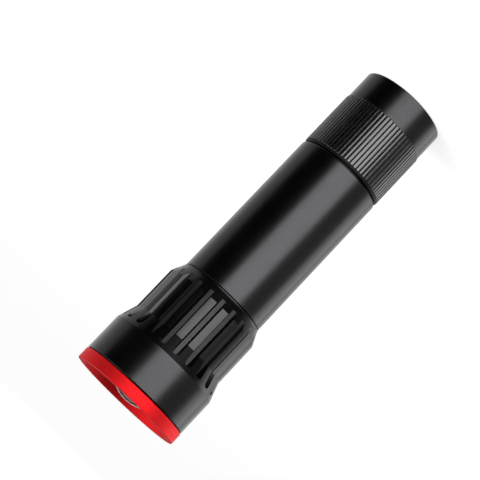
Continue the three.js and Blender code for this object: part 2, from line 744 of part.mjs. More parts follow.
place(
  'carrier_front_bridge',
  strip(firstCell, secondCell, frontPlate, PLATE_PAD_DIAMETER, PLATE_PAD_DIAMETER),
  brassPlate,
);
place(
  'carrier_rear_bridge',
  strip(secondCell, thirdCell, rearPlate, PLATE_PAD_DIAMETER, PLATE_PAD_DIAMETER),
  brassPlate,
);

// The first and third cells point forward, the second one back, so that they lie in series
const cellOutline = [
  [0, 0],
  [cellRadius - CELL_EDGE, 0],
  [cellRadius, CELL_EDGE],
  [cellRadius, CELL_LENGTH - CELL_NUB_HEIGHT - CELL_EDGE],
  [cellRadius - CELL_EDGE, CELL_LENGTH - CELL_NUB_HEIGHT],
  [CELL_NUB_DIAMETER / 2, CELL_LENGTH - CELL_NUB_HEIGHT],
  [CELL_NUB_DIAMETER / 2, CELL_LENGTH],
  [0, CELL_LENGTH],
];
for (let i = 0; i < CELL_COUNT; i += 1) {
  const [x, y] = cellPoint(i);
  const forward = i !== 1;
  const springRear = forward ? rearDiscFront + contactRoom : frontDiscRear - contactRoom - CELL_SPRING_HEIGHT;
  const springFront = springRear + CELL_SPRING_HEIGHT;
  const wide = forward ? CELL_SPRING_WIDE : CELL_SPRING_NARROW;
  const narrow = forward ? CELL_SPRING_NARROW : CELL_SPRING_WIDE;
  const flat = forward ? springFront + GAP : springRear - GAP;
  const outline = cellOutline.map(([r, z]) => [r, forward ? flat + z : flat - z]);
  place(`aaa_cell_${i + 1}`, turned(outline, INNER_SIDES).translate([x, y, 0]), cellJacket);
  place(
    `cell_spring_${i + 1}`,
    coilSpring(springRear, springFront, wide, narrow, CELL_SPRING_TURNS, CELL_SPRING_WIRE).translate([x, y, 0]),
    springSteel,
  );
}

// Driver in the pill's rear end
place(
  'driver_spring',
  coilSpring(
    driverSpringRear,
    driverSpringRear + DRIVER_SPRING_HEIGHT,
    DRIVER_SPRING_NARROW,
    DRIVER_SPRING_WIDE,
    DRIVER_SPRING_TURNS,
    DRIVER_SPRING_WIRE,
  ),
  brassPlate,
);
place(
  'driver_board',
  ring(0, driverRadius - PILL_FIT, driverBoardRear, driverBoardFront),
  greenBoard,
);
const driverPartRear = driverBoardFront + GAP;
const inductorRadius = INDUCTOR_DIAMETER / 2;
const inductorFront = driverPartRear + INDUCTOR_HEIGHT;
place(
  'driver_inductor',
  turned(
    [
      [0, driverPartRear],
      [inductorRadius, driverPartRear],
      [inductorRadius, driverPartRear + INDUCTOR_RIM],
      [inductorRadius - INDUCTOR_WAIST, driverPartRear + INDUCTOR_RIM],
      [inductorRadius - INDUCTOR_WAIST, inductorFront - INDUCTOR_RIM],
      [inductorRadius, inductorFront - INDUCTOR_RIM],
      [inductorRadius, inductorFront],
      [0, inductorFront],
    ],
    SMALL_SIDES,
  ).translate([0, INDUCTOR_OFFSET, 0]),
  blackPlastic,
);
place(
  'driver_chip',
  solid(
    new THREE.BoxGeometry(CHIP_LENGTH, CHIP_WIDTH, CHIP_HEIGHT).translate(
      0,
      CHIP_OFFSET,
      driverPartRear + CHIP_HEIGHT / 2,
    ),
  ),
  blackPlastic,
);

// Heat-sink pill with its stop flange, and the LED on its board
const wireHole = WIRE_DIAMETER / 2 + WIRE_CLEARANCE;
const screwHole = SCREW_DIAMETER / 2 + SCREW_CLEARANCE;
const screwTip = ledBoardFront + GAP - SCREW_LENGTH;
const screwOffset = LED_BOARD_DIAMETER / 2 - SCREW_EDGE;
const wireOffset = LED_BOARD_DIAMETER / 2 - WIRE_EDGE;
const sideways = [-1, 1];

function ledPill() {
  const inner = pillRadius - PILL_WALL;
  const ledge = driverBoardFront + GAP;
  let pill = turned([
    [driverRadius, pillRear],
    [pillRadius, pillRear],
    [pillRadius, pillFlangeRear],
    [stopRadius, pillFlangeRear],
    [stopRadius, pillFlangeFront],
    [0, pillFlangeFront],
    [0, pillTopRear],
    [inner, pillTopRear],
    [inner, ledge],
    [driverRadius, ledge],
  ]);
  for (const side of sideways) {
    const above = pillFlangeFront + REACH;
    pill = pill.subtract(peg(side * wireOffset, 0, wireHole, pillTopRear - REACH, above));
    pill = pill.subtract(peg(0, side * screwOffset, screwHole, screwTip - GAP, above));
  }
  return pill;
}
place('led_pill', ledPill(), rawAluminium);

function ledBoard() {
  let board = ring(0, LED_BOARD_DIAMETER / 2, ledBoardRear, ledBoardFront);
  for (const side of sideways) {
    const below = ledBoardRear - REACH;
    const above = ledBoardFront + REACH;
    board = board.subtract(peg(side * wireOffset, 0, wireHole, below, above));
    board = board.subtract(peg(0, side * screwOffset, screwHole, below, above));
  }
  return board;
}
place('led_board', ledBoard(), whiteBoard);

function ledEmitter() {
  const base = new THREE.BoxGeometry(LED_SIZE, LED_SIZE, LED_BASE);
  base.translate(0, 0, (ledBaseRear + ledBaseFront) / 2);
  const outline = [[0, ledBaseFront - LED_BASE / 2], [LED_DOME_RADIUS, ledBaseFront - LED_BASE / 2]];
  const domeSteps = 4;
  for (let i = 0; i <= domeSteps; i += 1) {
    const angle = ((Math.PI / 2) * i) / domeSteps;
    const height = ledBaseFront + LED_DOME_RADIUS * Math.sin(angle);
    outline.push([i === domeSteps ? 0 : LED_DOME_RADIUS * Math.cos(angle), height]);
  }
  return solid(base).add(turned(outline, SMALL_SIDES));
}
place('led_emitter', ledEmitter(), phosphor);

sideways.forEach((side, i) => {
  const headRearFace = ledBoardFront + GAP;
  const head = [
    [0, screwTip],
    [SCREW_DIAMETER / 2, screwTip],
    [SCREW_DIAMETER / 2, headRearFace],
    [SCREW_HEAD_DIAMETER / 2, headRearFace],
    [SCREW_HEAD_DIAMETER / 2, headRearFace + SCREW_HEAD_HEIGHT],
    [0, headRearFace + SCREW_HEAD_HEIGHT],
  ];
  place(`led_screw_${i + 1}`, turned(head, SMALL_SIDES).translate([0, side * screwOffset, 0]), springSteel);
});

// Each wire rises from the driver, through pill and board, and bends in to the LED's pad
const WIRE_STEPS = 10;
const WIRE_SIDES = 6;
[['led_wire_red', -1, redJacket], ['led_wire_black', 1, blackPlastic]].forEach(([name, side, jacket]) => {
  const out = side * wireOffset;
  const top = ledBoardFront + GAP + WIRE_DIAMETER / 2;
  const path = new THREE.CurvePath();
  const foot = new THREE.Vector3(out, 0, driverPartRear);
  const bendStart = new THREE.Vector3(out, 0, top + GAP - WIRE_BEND / 2);
  const corner = new THREE.Vector3(out, 0, top + GAP + WIRE_BEND / 2);
  const bendEnd = new THREE.Vector3(out - side * WIRE_BEND, 0, top + GAP + WIRE_BEND / 2);
  const end = new THREE.Vector3(side * WIRE_END, 0, top);
  path.add(new THREE.LineCurve3(foot, bendStart));
  path.add(new THREE.QuadraticBezierCurve3(bendStart, corner, bendEnd));
  path.add(new THREE.LineCurve3(bendEnd, end));
  place(name, wireAlong(path, WIRE_DIAMETER, WIRE_STEPS, WIRE_SIDES), jacket);
});

// Zoom head with its slots
function headSlots() {
  const shape = new THREE.Shape();
  const half = SLOT_WIDTH / 2;
  const front = headBandRear - SLOT_MARGIN;
  shape.moveTo(-half, headRear);
  shape.lineTo(half, headRear);
  shape.lineTo(half, front - half);
  shape.absarc(0, front - half, half, 0, Math.PI, false);
  shape.closePath();
  const depth = headFrontRadius + REACH - slotFloor;
  const options = { depth, bevelEnabled: false, curveSegments: SLOT_ARC_STEPS };
  const cutters = [];
  for (let i = 0; i < SLOT_COUNT; i += 1) {
    const angle = THREE.MathUtils.degToRad(SLOT_PHASE + (360 * i) / SLOT_COUNT);
    const cutter = new THREE.ExtrudeGeometry(shape, options)
      .rotateX(Math.PI / 2)
      .translate(0, -slotFloor, 0)
      .rotateZ(angle + Math.PI / 2);
    cutters.push(solid(cutter));
  }
  return cutters;
}

function headShell() {
  const shell = turned([
    [guideRadius + LEAD, headRear],
    [headRearRadius - LEAD, headRear],
    [headRearRadius, headRear + LEAD],
    [headLandRadius, headLandRear],
    [headLandRadius, headLandFront],
    [headFrontRadius, headBandRear],
    [headFrontRadius, headFront - LEAD],
    [headFrontRadius - LEAD, headFront],
    [headFrontBore, headFront],
    [headFrontBore, headFrontBoreRear],
    [chamberRadius, headFrontBoreRear],
    [chamberRadius, guideFront],
    [guideRadius, guideFront],
    [guideRadius, headRear + LEAD],
  ]);
  return headSlots().reduce((left, cutter) => left.subtract(cutter), shell);
}
place('head_shell', headShell(), blackAnodised);

// Bezel with its dish, and the lens clamped in it
const dishRadius = bezelRadius - BEZEL_RIM;
const lipRadius = lensDomeRadius + BEZEL_FIT;
place(
  'bezel_ring',
  turned([
    [bezelBayRadius, bezelSkirtRear],
    [bezelSkirtRadius, bezelSkirtRear],
    [bezelSkirtRadius, bezelBandRear],
    [bezelRadius - LEAD, bezelBandRear],
    [bezelRadius, bezelBandRear + LEAD],
    [bezelRadius, bezelFront - BEZEL_EDGE],
    [bezelRadius - BEZEL_EDGE, bezelFront],
    [dishRadius, bezelFront],
    [lipRadius, lipFront],
    [lipRadius, lipRear],
    [bezelBayRadius, lipRear],
  ]),
  redAnodised,
);

function lensBody() {
  const outline = [
    [0, lensRear],
    [lensFlangeRadius, lensRear],
    [lensFlangeRadius, lensFlangeFront],
    [lensDomeRadius, lensFlangeFront],
  ];
  for (let i = LENS_STEPS; i >= 0; i -= 1) {
    const radius = (lensDomeRadius * i) / LENS_STEPS;
    outline.push([radius, lensApex - radius ** 2 / (2 * LENS_APEX_RADIUS)]);
  }
  return turned(outline);
}
place('lens', lensBody(), clearAcrylic);
place(
  'lens_o_ring',
  oRing(lipRadius + RING_CLEARANCE, lipRadius + RING_CLEARANCE + LENS_RING_SECTION, lensRingMiddle),
  blackRubber,
);
place(
  'lens_retainer',
  ring(lensFlangeRadius - LENS_RETAINER_WIDTH, lensFlangeRadius, lensRetainerRear, lensRetainerFront, SIDES),
  blackPlastic,
);

export default flashlight;
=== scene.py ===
# A push-pull zoom flashlight, dressed over its solids: black anodised shells, a slotted head, a red bezel
# with a domed lens, a knurled tail cap, and the battery, switch and LED sets inside.
# Sizes are millimetres; a finished mesh is scaled to the frame's metres.
import json
from math import asin, cos, hypot, pi, radians, sin, sqrt, tan

import bmesh
import bpy
from mathutils import Euler, Matrix, Vector


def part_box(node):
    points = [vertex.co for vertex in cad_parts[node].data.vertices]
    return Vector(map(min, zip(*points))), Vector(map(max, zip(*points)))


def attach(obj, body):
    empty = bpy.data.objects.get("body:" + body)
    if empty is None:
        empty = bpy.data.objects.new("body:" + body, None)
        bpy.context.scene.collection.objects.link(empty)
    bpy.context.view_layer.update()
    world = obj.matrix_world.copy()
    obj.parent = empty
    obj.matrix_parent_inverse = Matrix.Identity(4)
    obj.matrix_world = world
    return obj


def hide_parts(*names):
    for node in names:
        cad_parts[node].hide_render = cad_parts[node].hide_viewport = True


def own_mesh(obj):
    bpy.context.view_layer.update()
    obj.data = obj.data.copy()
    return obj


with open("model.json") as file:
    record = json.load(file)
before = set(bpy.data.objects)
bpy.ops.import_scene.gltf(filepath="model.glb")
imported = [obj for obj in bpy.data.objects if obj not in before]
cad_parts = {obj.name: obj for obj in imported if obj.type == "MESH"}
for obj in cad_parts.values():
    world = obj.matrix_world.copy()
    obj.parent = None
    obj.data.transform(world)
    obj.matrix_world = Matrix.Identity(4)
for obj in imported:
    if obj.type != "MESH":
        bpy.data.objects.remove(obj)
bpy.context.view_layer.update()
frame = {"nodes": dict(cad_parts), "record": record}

MM = 0.001

# Roundness of the meshes
LENS_SIDES = 256
BEZEL_SIDES = 192
SIDES = 128
BOARD_SIDES = 96
CELL_SIDES = 64
SMALL_SIDES = 48
SCREW_SIDES = 32
BLOB_SIDES = 24
WIRE_SIDES = 12
COIL_SIDES = 10
LEG_SIDES = 8
QUARTER_STEPS = 8
FILLET_STEPS = 4
FILLET_SUPPORT = 0.03
WELD = 0.002
SMOOTH_ANGLE = 28

# Which of a piece's materials its faces take
FIRST, SECOND, THIRD, FOURTH = range(4)

# Fillets that the pieces share
HAIR_EDGE = 0.05
FINE_EDGE = 0.1
JOINT_EDGE = 0.12
SMALL_EDGE = 0.15
SOFT_EDGE = 0.2
LIP_EDGE = 0.25
ROUND_EDGE = 0.3
COLLAR_EDGE = 0.35
PILL_EDGE = 0.4
CELL_EDGE = 0.5

# Tail cap; the crown is how far a tooth falls, as shares of its depth, half way to its edge and there
CAP_BAND_LENGTH = 9.6
CAP_COLLAR_LENGTH = 0.8
CAP_COLLAR_FACE = 0.5
CAP_BAND_STEP = 0.03
KNURL_TEETH = 68
KNURL_DEPTH = 0.22
KNURL_GROOVE = 0.5
KNURL_GROOVE_FLOOR = 0.2
KNURL_CROWN = (0.05, 0.18)
KNURL_CHAMFER = 0.14
RECESS_RADIUS = 9.6
RECESS_DEPTH = 1.8
END_WALL = 2.2
SWITCH_ROOM = 0.25
LEDGE_ROOM = 0.2

# Thread and seals between cap and barrel
THREAD_PITCH = 1.5
THREAD_DEPTH = 0.5
THREAD_CREST = 0.35
THREAD_FLANK = 0.25
THREAD_CLEARANCE = 0.2
THREAD_GROOVE_ROOM = 0.4
THREAD_LEAD = 0.4
THREAD_STEPS = 10
THREAD_FADE = 0.5
SPIGOT_WALL = 0.75
SEAL_STEP = 0.3
SEAL_LENGTH = 3.7
SEAL_CLEARANCE = 0.2
SEAL_RELIEF = 0.3
TAIL_GROOVE_DEPTH = 0.8
NECK_GROOVE_DEPTH = 0.9
GROOVE_ROOM = 0.2
TAIL_RING = 0.8
NECK_RING = 0.9
LENS_RING = 0.9
RING_STEPS = 24
RING_FLASH = 0.02

# Barrel
BARREL_WALL = 3.12
NECK_WALL = 1.6
CAP_GAP = 0.6
HEAD_GAP = 0.3

# Zoom head
HEAD_REAR_RADIUS = 14.54
HEAD_REAR_EDGE = 0.3
HEAD_REAR_TAPER = 4.3
HEAD_LAND_RADIUS = 16.37
HEAD_LAND_LENGTH = 14.37
HEAD_FRONT_TAPER = 6.06
HEAD_BAND_BLEND = 0.2
HEAD_CREASE = 0.06
HEAD_GUIDE_CLEARANCE = 0.2
HEAD_GUIDE_LENGTH = 13.16
HEAD_GUIDE_START = 0.5
HEAD_CHAMBER = 14.17
HEAD_FRONT_WALL = 1.94
HEAD_FRONT_BORE = 8.69
SLOT_COUNT = 22
SLOT_WIDTH = 2.4
SLOT_DEPTH = 0.91
SLOT_DRAFT = 0.55
SLOT_MARGIN = 1.2
SLOT_PHASE = -94
SLOT_STEPS = 10
SLOT_END_STEPS = 3
LAND_STEPS = 4

# Bezel and lens
BEZEL_BAND = 3.71
BEZEL_RIM = 1.9
BEZEL_BAY = 14.1
BEZEL_SKIRT = 16.2
BEZEL_LIP_RADIUS = 12.6
BEZEL_LIP_FRONT = 6.7
BEZEL_LIP = 0.7
LENS_DOME_RADIUS = 12.4
LENS_APEX_RADIUS = 10.9
LENS_FLANGE_THICKNESS = 1.6
LENS_STEPS = 96
RETAINER_WIDTH = 2.2

# Tail button
BUTTON_FLANGE = 2.3
BUTTON_FLANGE_THICKNESS = 1.4
CROWN_STEPS = 24
CROWN_SHARE = 0.94
CROWN_FALL = 0.9
CROWN_EDGE = 0.95
CROWN_RING_RADIUS = 4.3
CROWN_RING_HALF_WIDTH = 0.35
CROWN_RING_DEPTH = 0.12

# LED set; the crown of a screw's head is (share of its radius, depth under its top)
PILL_CLEARANCE = 0.15
PILL_WALL = 2
PILL_SEAT_WALL = 1.1
PILL_TOP = 6
WIRE_HOLE = 1
WIRE_RADIUS = 0.6
WIRE_BEND = 1.2
WIRE_DROP = 0.3
STRAND_RADIUS = 0.35
STRAND_LENGTH = 0.4
STRAND_DROP = 0.1
SCREW_HOLE = 1.1
SCREW_SHANK = 0.9
SCREW_HEAD = 1
SCREW_EDGE = 0.08
SCREW_CROWN = ((1, 0.45), (0.82, 0.15), (0.5, 0))
CROSS_LENGTH = 1.9
CROSS_WIDTH = 0.45
CROSS_DEPTH = 0.55
CUT_MARGIN = 1
EMITTER_BASE = 0.8
SOLDER_PLACE = 3
SOLDER_RADIUS = 0.8
SOLDER_HEIGHT = 0.6
PAD_WIDTH = 1.8
PAD_LENGTH = 2.6
PAD_HEIGHT = 0.05

# Driver set; a chip's leg runs through (way in from its tip, height over the chip's foot)
FOIL = 0.04
DRIVER_PAD = (2.6, 4.4)
RESISTOR_PLACES = ((-4.2, 1.2), (4.2, 1.2), (-4.6, -2.4), (4.6, -2.4))
RESISTOR_LENGTH = 1.6
RESISTOR_WIDTH = 0.8
RESISTOR_HEIGHT = 0.6
RESISTOR_END = 0.4
RESISTOR_END_PROUD = 0.02
INDUCTOR_FLANGE = 0.7
INDUCTOR_WAIST = 0.35
INDUCTOR_TURNS = 7
INDUCTOR_WIRE_PROUD = 0.09
INDUCTOR_TURN_STEPS = 6
CHIP_LEGS = 4
CHIP_LEG_MARGIN = 0.5
CHIP_LEG_REACH = 0.5
CHIP_STANDOFF = 0.1
LEG_RADIUS = 0.1
LEG_PATH = ((0.55, 0.7), (0.3, 0.65), (0.2, 0.15), (0, 0.12))

# Battery set
NUB_HEIGHT = 1
NUB_RADIUS = 1.9
NUB_SINK = 0.2
CELL_RIM = 1
CELL_BAND_SHARE = 0.8
BASE_GROOVE = (0.5, 0.3)
BASE_SINK = 0.12
CARRIER_DISC = 2.2
CARRIER_RIB = 2.4
RIB_ANGLES = (30, 150, 270)
RIB_SPAN = 30
RIB_STEPS = 10
RIB_ROOT = 0.1
RIVET_HOLE = 1.15

# Switch set and springs
PLUNGER_STEP = 1
PLUNGER_HEAD = 1.2
PLUNGER_ROOM = 0.3
RETURN_SPRING_ROOM = 1.3
HOUSING_STEP = 3
HOUSING_FLANGE = 1.5
HOUSING_WALL = 1.2
SWITCH_PAD = (4.2, 5.8)
NUT_WIDTH = 3.1
NOTCH_PLACE = 0.4
NOTCH_LENGTH = 2
NOTCH_WIDTH = 1.6
NOTCH_DEPTH = 0.6
COIL_STEPS = 28
COIL_FLAT_TURN = 0.3
CELL_SPRING_WIDE = 4.4
CELL_SPRING_NARROW = 3

# The camera, fitted to the picture: a pixel here is one of 480 by 480
PICTURE_SIZE = 480
FOCAL_PIXELS = 1757
SENSOR_WIDTH = 36
CAMERA_DISTANCE = 517.8
CAMERA_RISE = 10.96
AXIS_POINT_HEIGHT = 61.4
AXIS_POINT_PIXEL = (264.9, 252.1)
BEAM_ANGLE = 226.6

# The studio, in metres
AMBIENT = 0.35
BACKGROUND_WHITE = 1.0
FLOOR_LIFT = 0.6
FLOOR_RADIUS = 4.0
FLOOR_DROP = 0.0002
FLOOR_SIDES = 96
DRAPE_DISTANCE = 0.85
DRAPE_ROWS = 24
DRAPE_COLUMNS = 48

BODY_OF = {node: body for body, nodes in frame["record"]["behaviour"]["bodies"].items() for node in nodes}
SLOT_OF = {part["node"]: part["material_slot"] for part in frame["record"]["subparts"]}


# Places of the solids

def reach(node):
    """Rear, front and radius of a node that lies on the axis, in millimetres."""
    low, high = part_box(node)
    return low.z / MM, high.z / MM, high.x / MM


def middle_of(node):
    """Where a node off the axis stands."""
    low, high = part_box(node)
    return (low.x + high.x) / 2 / MM, (low.y + high.y) / 2 / MM


def wire_line(node):
    """How far from the axis a wire comes up."""
    low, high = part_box(node)
    return max(abs(low.x), abs(high.x)) / MM - WIRE_RADIUS


# Mesh making

def quarter():
    """Angles of a quarter turn."""
    return [pi / 2 * k / QUARTER_STEPS for k in range(QUARTER_STEPS + 1)]


def around(sides):
    """Angles of a full turn, the last on the first."""
    return [2 * pi * k / sides for k in range(sides + 1)]


def rounded(corners):
    """An outline of (radius, height) or (radius, height, fillet) corners, with the fillets as arcs."""
    points = []
    for i, (r, z, *fillet) in enumerate(corners):
        here = Vector((r, z))
        if not fillet:
            points.append(here)
            continue
        back = (Vector(corners[i - 1][:2]) - here).normalized()
        ahead = (Vector(corners[(i + 1) % len(corners)][:2]) - here).normalized()
        half = back.angle(ahead) / 2
        middle = here + (back + ahead).normalized() * fillet[0] / sin(half)
        run = fillet[0] / tan(half)
        start = here + back * run - middle
        end = here + ahead * run - middle
        points.append(here + back * (run + FILLET_SUPPORT))
        for k in range(FILLET_STEPS + 1):
            points.append(middle + start.slerp(end, k / FILLET_STEPS).normalized() * fillet[0])
        points.append(here + ahead * (run + FILLET_SUPPORT))
    return points


def closed(outline):
    """An outline that comes back to its first point."""
    return [*outline, outline[0]]


def circles(outline, angles):
    """The points of an outline turned about Z, one row for each of its points."""
    return [[(r * cos(a), r * sin(a), z) for a in angles] for r, z in outline]


def net(bm, rows, *paints):
    """Quads over rows of points, painted column by column; what meets is welded later."""
    paints = paints or (FIRST,)
    grid = [[bm.verts.new(point) for point in row] for row in rows]
    for upper, lower in zip(grid, grid[1:]):
        for k in range(len(upper) - 1):
            face = bm.faces.new((upper[k], upper[k + 1], lower[k + 1], lower[k]))
            face.material_index = paints[k % len(paints)]


def lathe(bm, outline, sides=SMALL_SIDES, paint=FIRST, at=(0, 0)):
    """Adds an outline turned about an upright line."""
    x, y = at
    net(bm, [[(x + p, y + q, z) for p, q, z in row] for row in circles(outline, around(sides))], paint)


def disc(bm, low, high, radius, edge, sides=BOARD_SIDES, at=(0, 0)):
    """Adds a round plate with softened edges."""
    outline = rounded([(0, low), (radius, low, edge), (radius, high, edge), (0, high)])
    lathe(bm, closed(outline), sides, at=at)


def spring_pad(bm, face, foil, radii):
    """Adds the ring of bare metal that a spring stands on, raised from a board's face."""
    inner, outer = radii
    outline = [(outer, face), (outer, face + foil), (inner, face + foil), (inner, face)]
    lathe(bm, outline, SMALL_SIDES, SECOND)


def slab(bm, low, high, paint=FIRST):
    """Adds a box between two corners."""
    made = bmesh.ops.create_cube(bm, size=1)["verts"]
    size = Vector(high) - Vector(low)
    bmesh.ops.scale(bm, verts=made, vec=size)
    bmesh.ops.translate(bm, verts=made, vec=Vector(low) + size / 2)
    for face in {face for vert in made for face in vert.link_faces}:
        face.material_index = paint


def tube(bm, path, radius, sides=WIRE_SIDES, paint=FIRST):
    """Adds a round wire along a path, with flat ends."""
    points = [Vector(p) for p in path]
    last = len(points) - 1
    side = (points[1] - points[0]).orthogonal()
    rows = [[points[0]] * (sides + 1)]
    for i, point in enumerate(points):
        ahead = (points[min(i + 1, last)] - points[max(i - 1, 0)]).normalized()
        side = (side - ahead * side.dot(ahead)).normalized()
        up = ahead.cross(side)
        rows.append([point + (side * cos(a) + up * sin(a)) * radius for a in around(sides)])
    net(bm, rows + [[points[-1]] * (sides + 1)], paint)


def shown(name, bm):
    """An object of the scene, from a mesh that is in metres already."""
    mesh = bpy.data.meshes.new(name)
    bm.to_mesh(mesh)
    bm.free()
    made = bpy.data.objects.new(name, mesh)
    bpy.context.scene.collection.objects.link(made)
    return made


def welded(name, bm):
    """An object in metres, made from what was drawn in millimetres."""
    bmesh.ops.remove_doubles(bm, verts=bm.verts, dist=WELD)
    bmesh.ops.dissolve_degenerate(bm, edges=bm.edges, dist=WELD / 2)
    bmesh.ops.recalc_face_normals(bm, faces=bm.faces)
    bm.transform(Matrix.Scale(MM, 4))
    return shown(name, bm)


def smooth(mesh):
    """Smooth shading up to the real edges."""
    mesh.shade_smooth()
    mesh.set_sharp_from_angle(angle=radians(SMOOTH_ANGLE))


def finished(node, bm, *materials):
    """A welded piece that rides where its node does and stands for it."""
    piece = welded(node + "_piece", bm)
    smooth(piece.data)
    for material in materials:
        piece.data.materials.append(material)
    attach(piece, BODY_OF[node])
    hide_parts(node)
    return piece


def turned_piece(node, outline, *materials, sides=SIDES, at=(0, 0)):
    """A piece turned from one closed outline."""
    bm = bmesh.new()
    lathe(bm, closed(rounded(outline)), sides, at=at)
    return finished(node, bm, *materials)


def ring_piece(node, width, edge, material):
    """A plain ring with softened edges."""
    low, high, outer = reach(node)
    inner = outer - width
    return turned_piece(node, [
        (inner, low, edge),
        (outer, low, edge),
        (outer, high, edge),
        (inner, high, edge),
    ], material)


def carved(piece, bm):
    """Takes a closed shape out of a piece."""
    cutter = welded(piece.name + "_cut", bm)
    cut = piece.modifiers.new("cut", "BOOLEAN")
    cut.object = cutter
    cut.solver = "EXACT"
    whole = piece.evaluated_get(bpy.context.evaluated_depsgraph_get())
    result = bpy.data.meshes.new_from_object(whole)
    piece.modifiers.clear()
    piece.data = result
    smooth(result)
    spent = cutter.data
    bpy.data.objects.remove(cutter)
    bpy.data.meshes.remove(spent)


# Materials

# A mix node has sockets of one name for each kind of value, so its colour ones are told by number
MIX_FACTOR = 0
MIX_FIRST = 6
MIX_SECOND = 7
MIX_COLOUR = 2

# Noise seldom leaves this range, so a roughness runs from its low to its high value within it
NOISE_LOW = 0.3
NOISE_HIGH = 0.7

# How much rougher tarnish leaves a metal
TARNISH_DULLING = 0.15


def linear(code):
    """An sRGB hex colour as linear RGBA."""
    parts = [int(code[k:k + 2], 16) / 255 for k in (1, 3, 5)]
    return (*[c / 12.92 if c <= 0.04045 else ((c + 0.055) / 1.055) ** 2.4 for c in parts], 1)


WHITE = linear("#ffffff")


def add(tree, kind, inputs=None, **settings):
    """Adds a node with its settings; an input is a value or another node's output."""
    made = tree.nodes.new(kind)
    for name, value in settings.items():
        setattr(made, name, value)
    for name, value in (inputs or {}).items():
        if isinstance(value, bpy.types.NodeSocket):
            tree.links.new(value, made.inputs[name])
        else:
            made.inputs[name].default_value = value
    return made


def pattern(tree, size, detail=2.0, stretch=(1, 1, 1)):
    """Noise with features of a size in millimetres, drawn out where stretch is under 1."""
    place = add(tree, "ShaderNodeTexCoord").outputs["Object"]
    drawn = add(tree, "ShaderNodeMapping", {"Vector": place, "Scale": stretch}).outputs["Vector"]
    inputs = {"Vector": drawn, "Scale": 1 / (size * MM), "Detail": detail}
    return add(tree, "ShaderNodeTexNoise", inputs).outputs["Fac"]


def surface(name, colour=None, roughness=None, relief=None, **even):
    """A material; what is even goes to the shader's sockets, and the rest follows a grain.

    colour is (grain, hex, hex), roughness is (grain, low, high) and relief is (grain, depth in millimetres).
    A grain is what pattern takes: a size in millimetres, and where needed its detail and stretch.
    """
    material = bpy.data.materials.new(name)
    material.use_nodes = True
    tree = material.node_tree
    tree.nodes.clear()
    shader = add(tree, "ShaderNodeBsdfPrincipled", {key.replace("_", " "): even[key] for key in even})
    add(tree, "ShaderNodeOutputMaterial", {"Surface": shader.outputs["BSDF"]})
    if colour:
        grain, first, second = colour
        inputs = {MIX_FACTOR: pattern(tree, *grain), MIX_FIRST: linear(first), MIX_SECOND: linear(second)}
        mixed = add(tree, "ShaderNodeMix", inputs, data_type="RGBA")
        tree.links.new(mixed.outputs[MIX_COLOUR], shader.inputs["Base Color"])
    if roughness:
        grain, low, high = roughness
        inputs = {"Value": pattern(tree, *grain), "From Min": NOISE_LOW, "From Max": NOISE_HIGH}
        drift = add(tree, "ShaderNodeMapRange", inputs | {"To Min": low, "To Max": high})
        tree.links.new(drift.outputs["Result"], shader.inputs["Roughness"])
    if relief:
        grain, depth = relief
        bump = add(tree, "ShaderNodeBump", {"Height": pattern(tree, *grain), "Distance": depth * MM})
        tree.links.new(bump.outputs["Normal"], shader.inputs["Normal"])
    return material


def black_anodised_aluminium():
    """Blasted, then dyed black: nearly no colour of its own, a soft satin sheen and a fine even grit."""
    # The real grit is about 0.05 mm; it is drawn 0.3 mm wide, the finest that the picture can hold
    grit = (0.3,)
    # Fingers leave the sheen uneven over about their own width
    handling = (9.0, 4.0)
    return surface(
        "black_anodised_aluminium",
        colour=(grit, "#29292a", "#303031"),
        roughness=(handling, 0.26, 0.3),
        relief=(grit, 0.004),
        Metallic=1.0,
    )


def milled_black_anodised():
    """The cutter's matt floor in the head's slots, dyed with the rest: greyer, and even from every side."""
    # Feed marks 0.15 mm apart along the slot, drawn 0.4 mm wide
    marks = (0.4, 2.0, (0.6, 0.6, 1.0))
    return surface(
        "milled_black_anodised",
        colour=(marks, "#353535", "#404040"),
        roughness=(marks, 0.5, 0.62),
        relief=(marks, 0.01),
        Metallic=1.0,
    )


def painted_shade_black_anodised():
    """Painted shade on the knurl's grooves and the collar beside it: dead black, with no sheen."""
    # The painted shade varies in patches about as wide as a groove
    shade_patches = (0.6,)
    return surface(
        "painted_shade_black_anodised",
        colour=(shade_patches, "#171717", "#232323"),
        roughness=(shade_patches, 0.5, 0.65),
        Metallic=1.0,
    )


def painted_highlight_black_anodised():
    """Painted highlight on the knurl's crests: greyer and a little brighter than the rest of the black."""
    # The painted highlight varies over about a tooth's width
    highlight_patches = (1.5, 4.0)
    return surface(
        "painted_highlight_black_anodised",
        colour=(highlight_patches, "#404040", "#4a4a4a"),
        roughness=(highlight_patches, 0.25, 0.31),
        Metallic=1.0,
    )


def red_anodised_aluminium():
    """Turned, then dyed red: deep red metal, matt, with fine lines round the axis that spread the light."""
    # Turning lines 0.1 mm apart, drawn 0.3 mm wide so that they show
    lines = (0.3, 2.0, (0.02, 0.02, 1.0))
    dye = (5.0,)
    return surface(
        "red_anodised_aluminium",
        colour=(dye, "#c81c20", "#d42024"),
        roughness=(lines, 0.56, 0.64),
        relief=(lines, 0.006),
        Metallic=1.0,
    )


def clear_acrylic():
    """Moulded, polished and coated: clear, little glare, and a faint haze where cloth has left it."""
    # A cloth's smears are a few millimetres wide
    haze = (4.0, 5.0)
    return surface(
        "clear_acrylic",
        roughness=(haze, 0.03, 0.07),
        Base_Color=linear("#fbfcfc"),
        IOR=1.49,
        Transmission_Weight=1.0,
        Specular_IOR_Level=0.3,
    )


def black_rubber():
    """Moulded nitrile rubber: soft black with a dull, slightly dusty skin."""
    # The mould's grain is about 0.1 mm, drawn 0.4 mm wide; dust lies in patches of 3 mm
    skin = (0.4,)
    dust = (3.0, 4.0)
    return surface(
        "black_rubber",
        colour=(dust, "#141415", "#1d1d1e"),
        roughness=(skin, 0.62, 0.78),
        relief=(skin, 0.015),
        Specular_IOR_Level=0.35,
    )


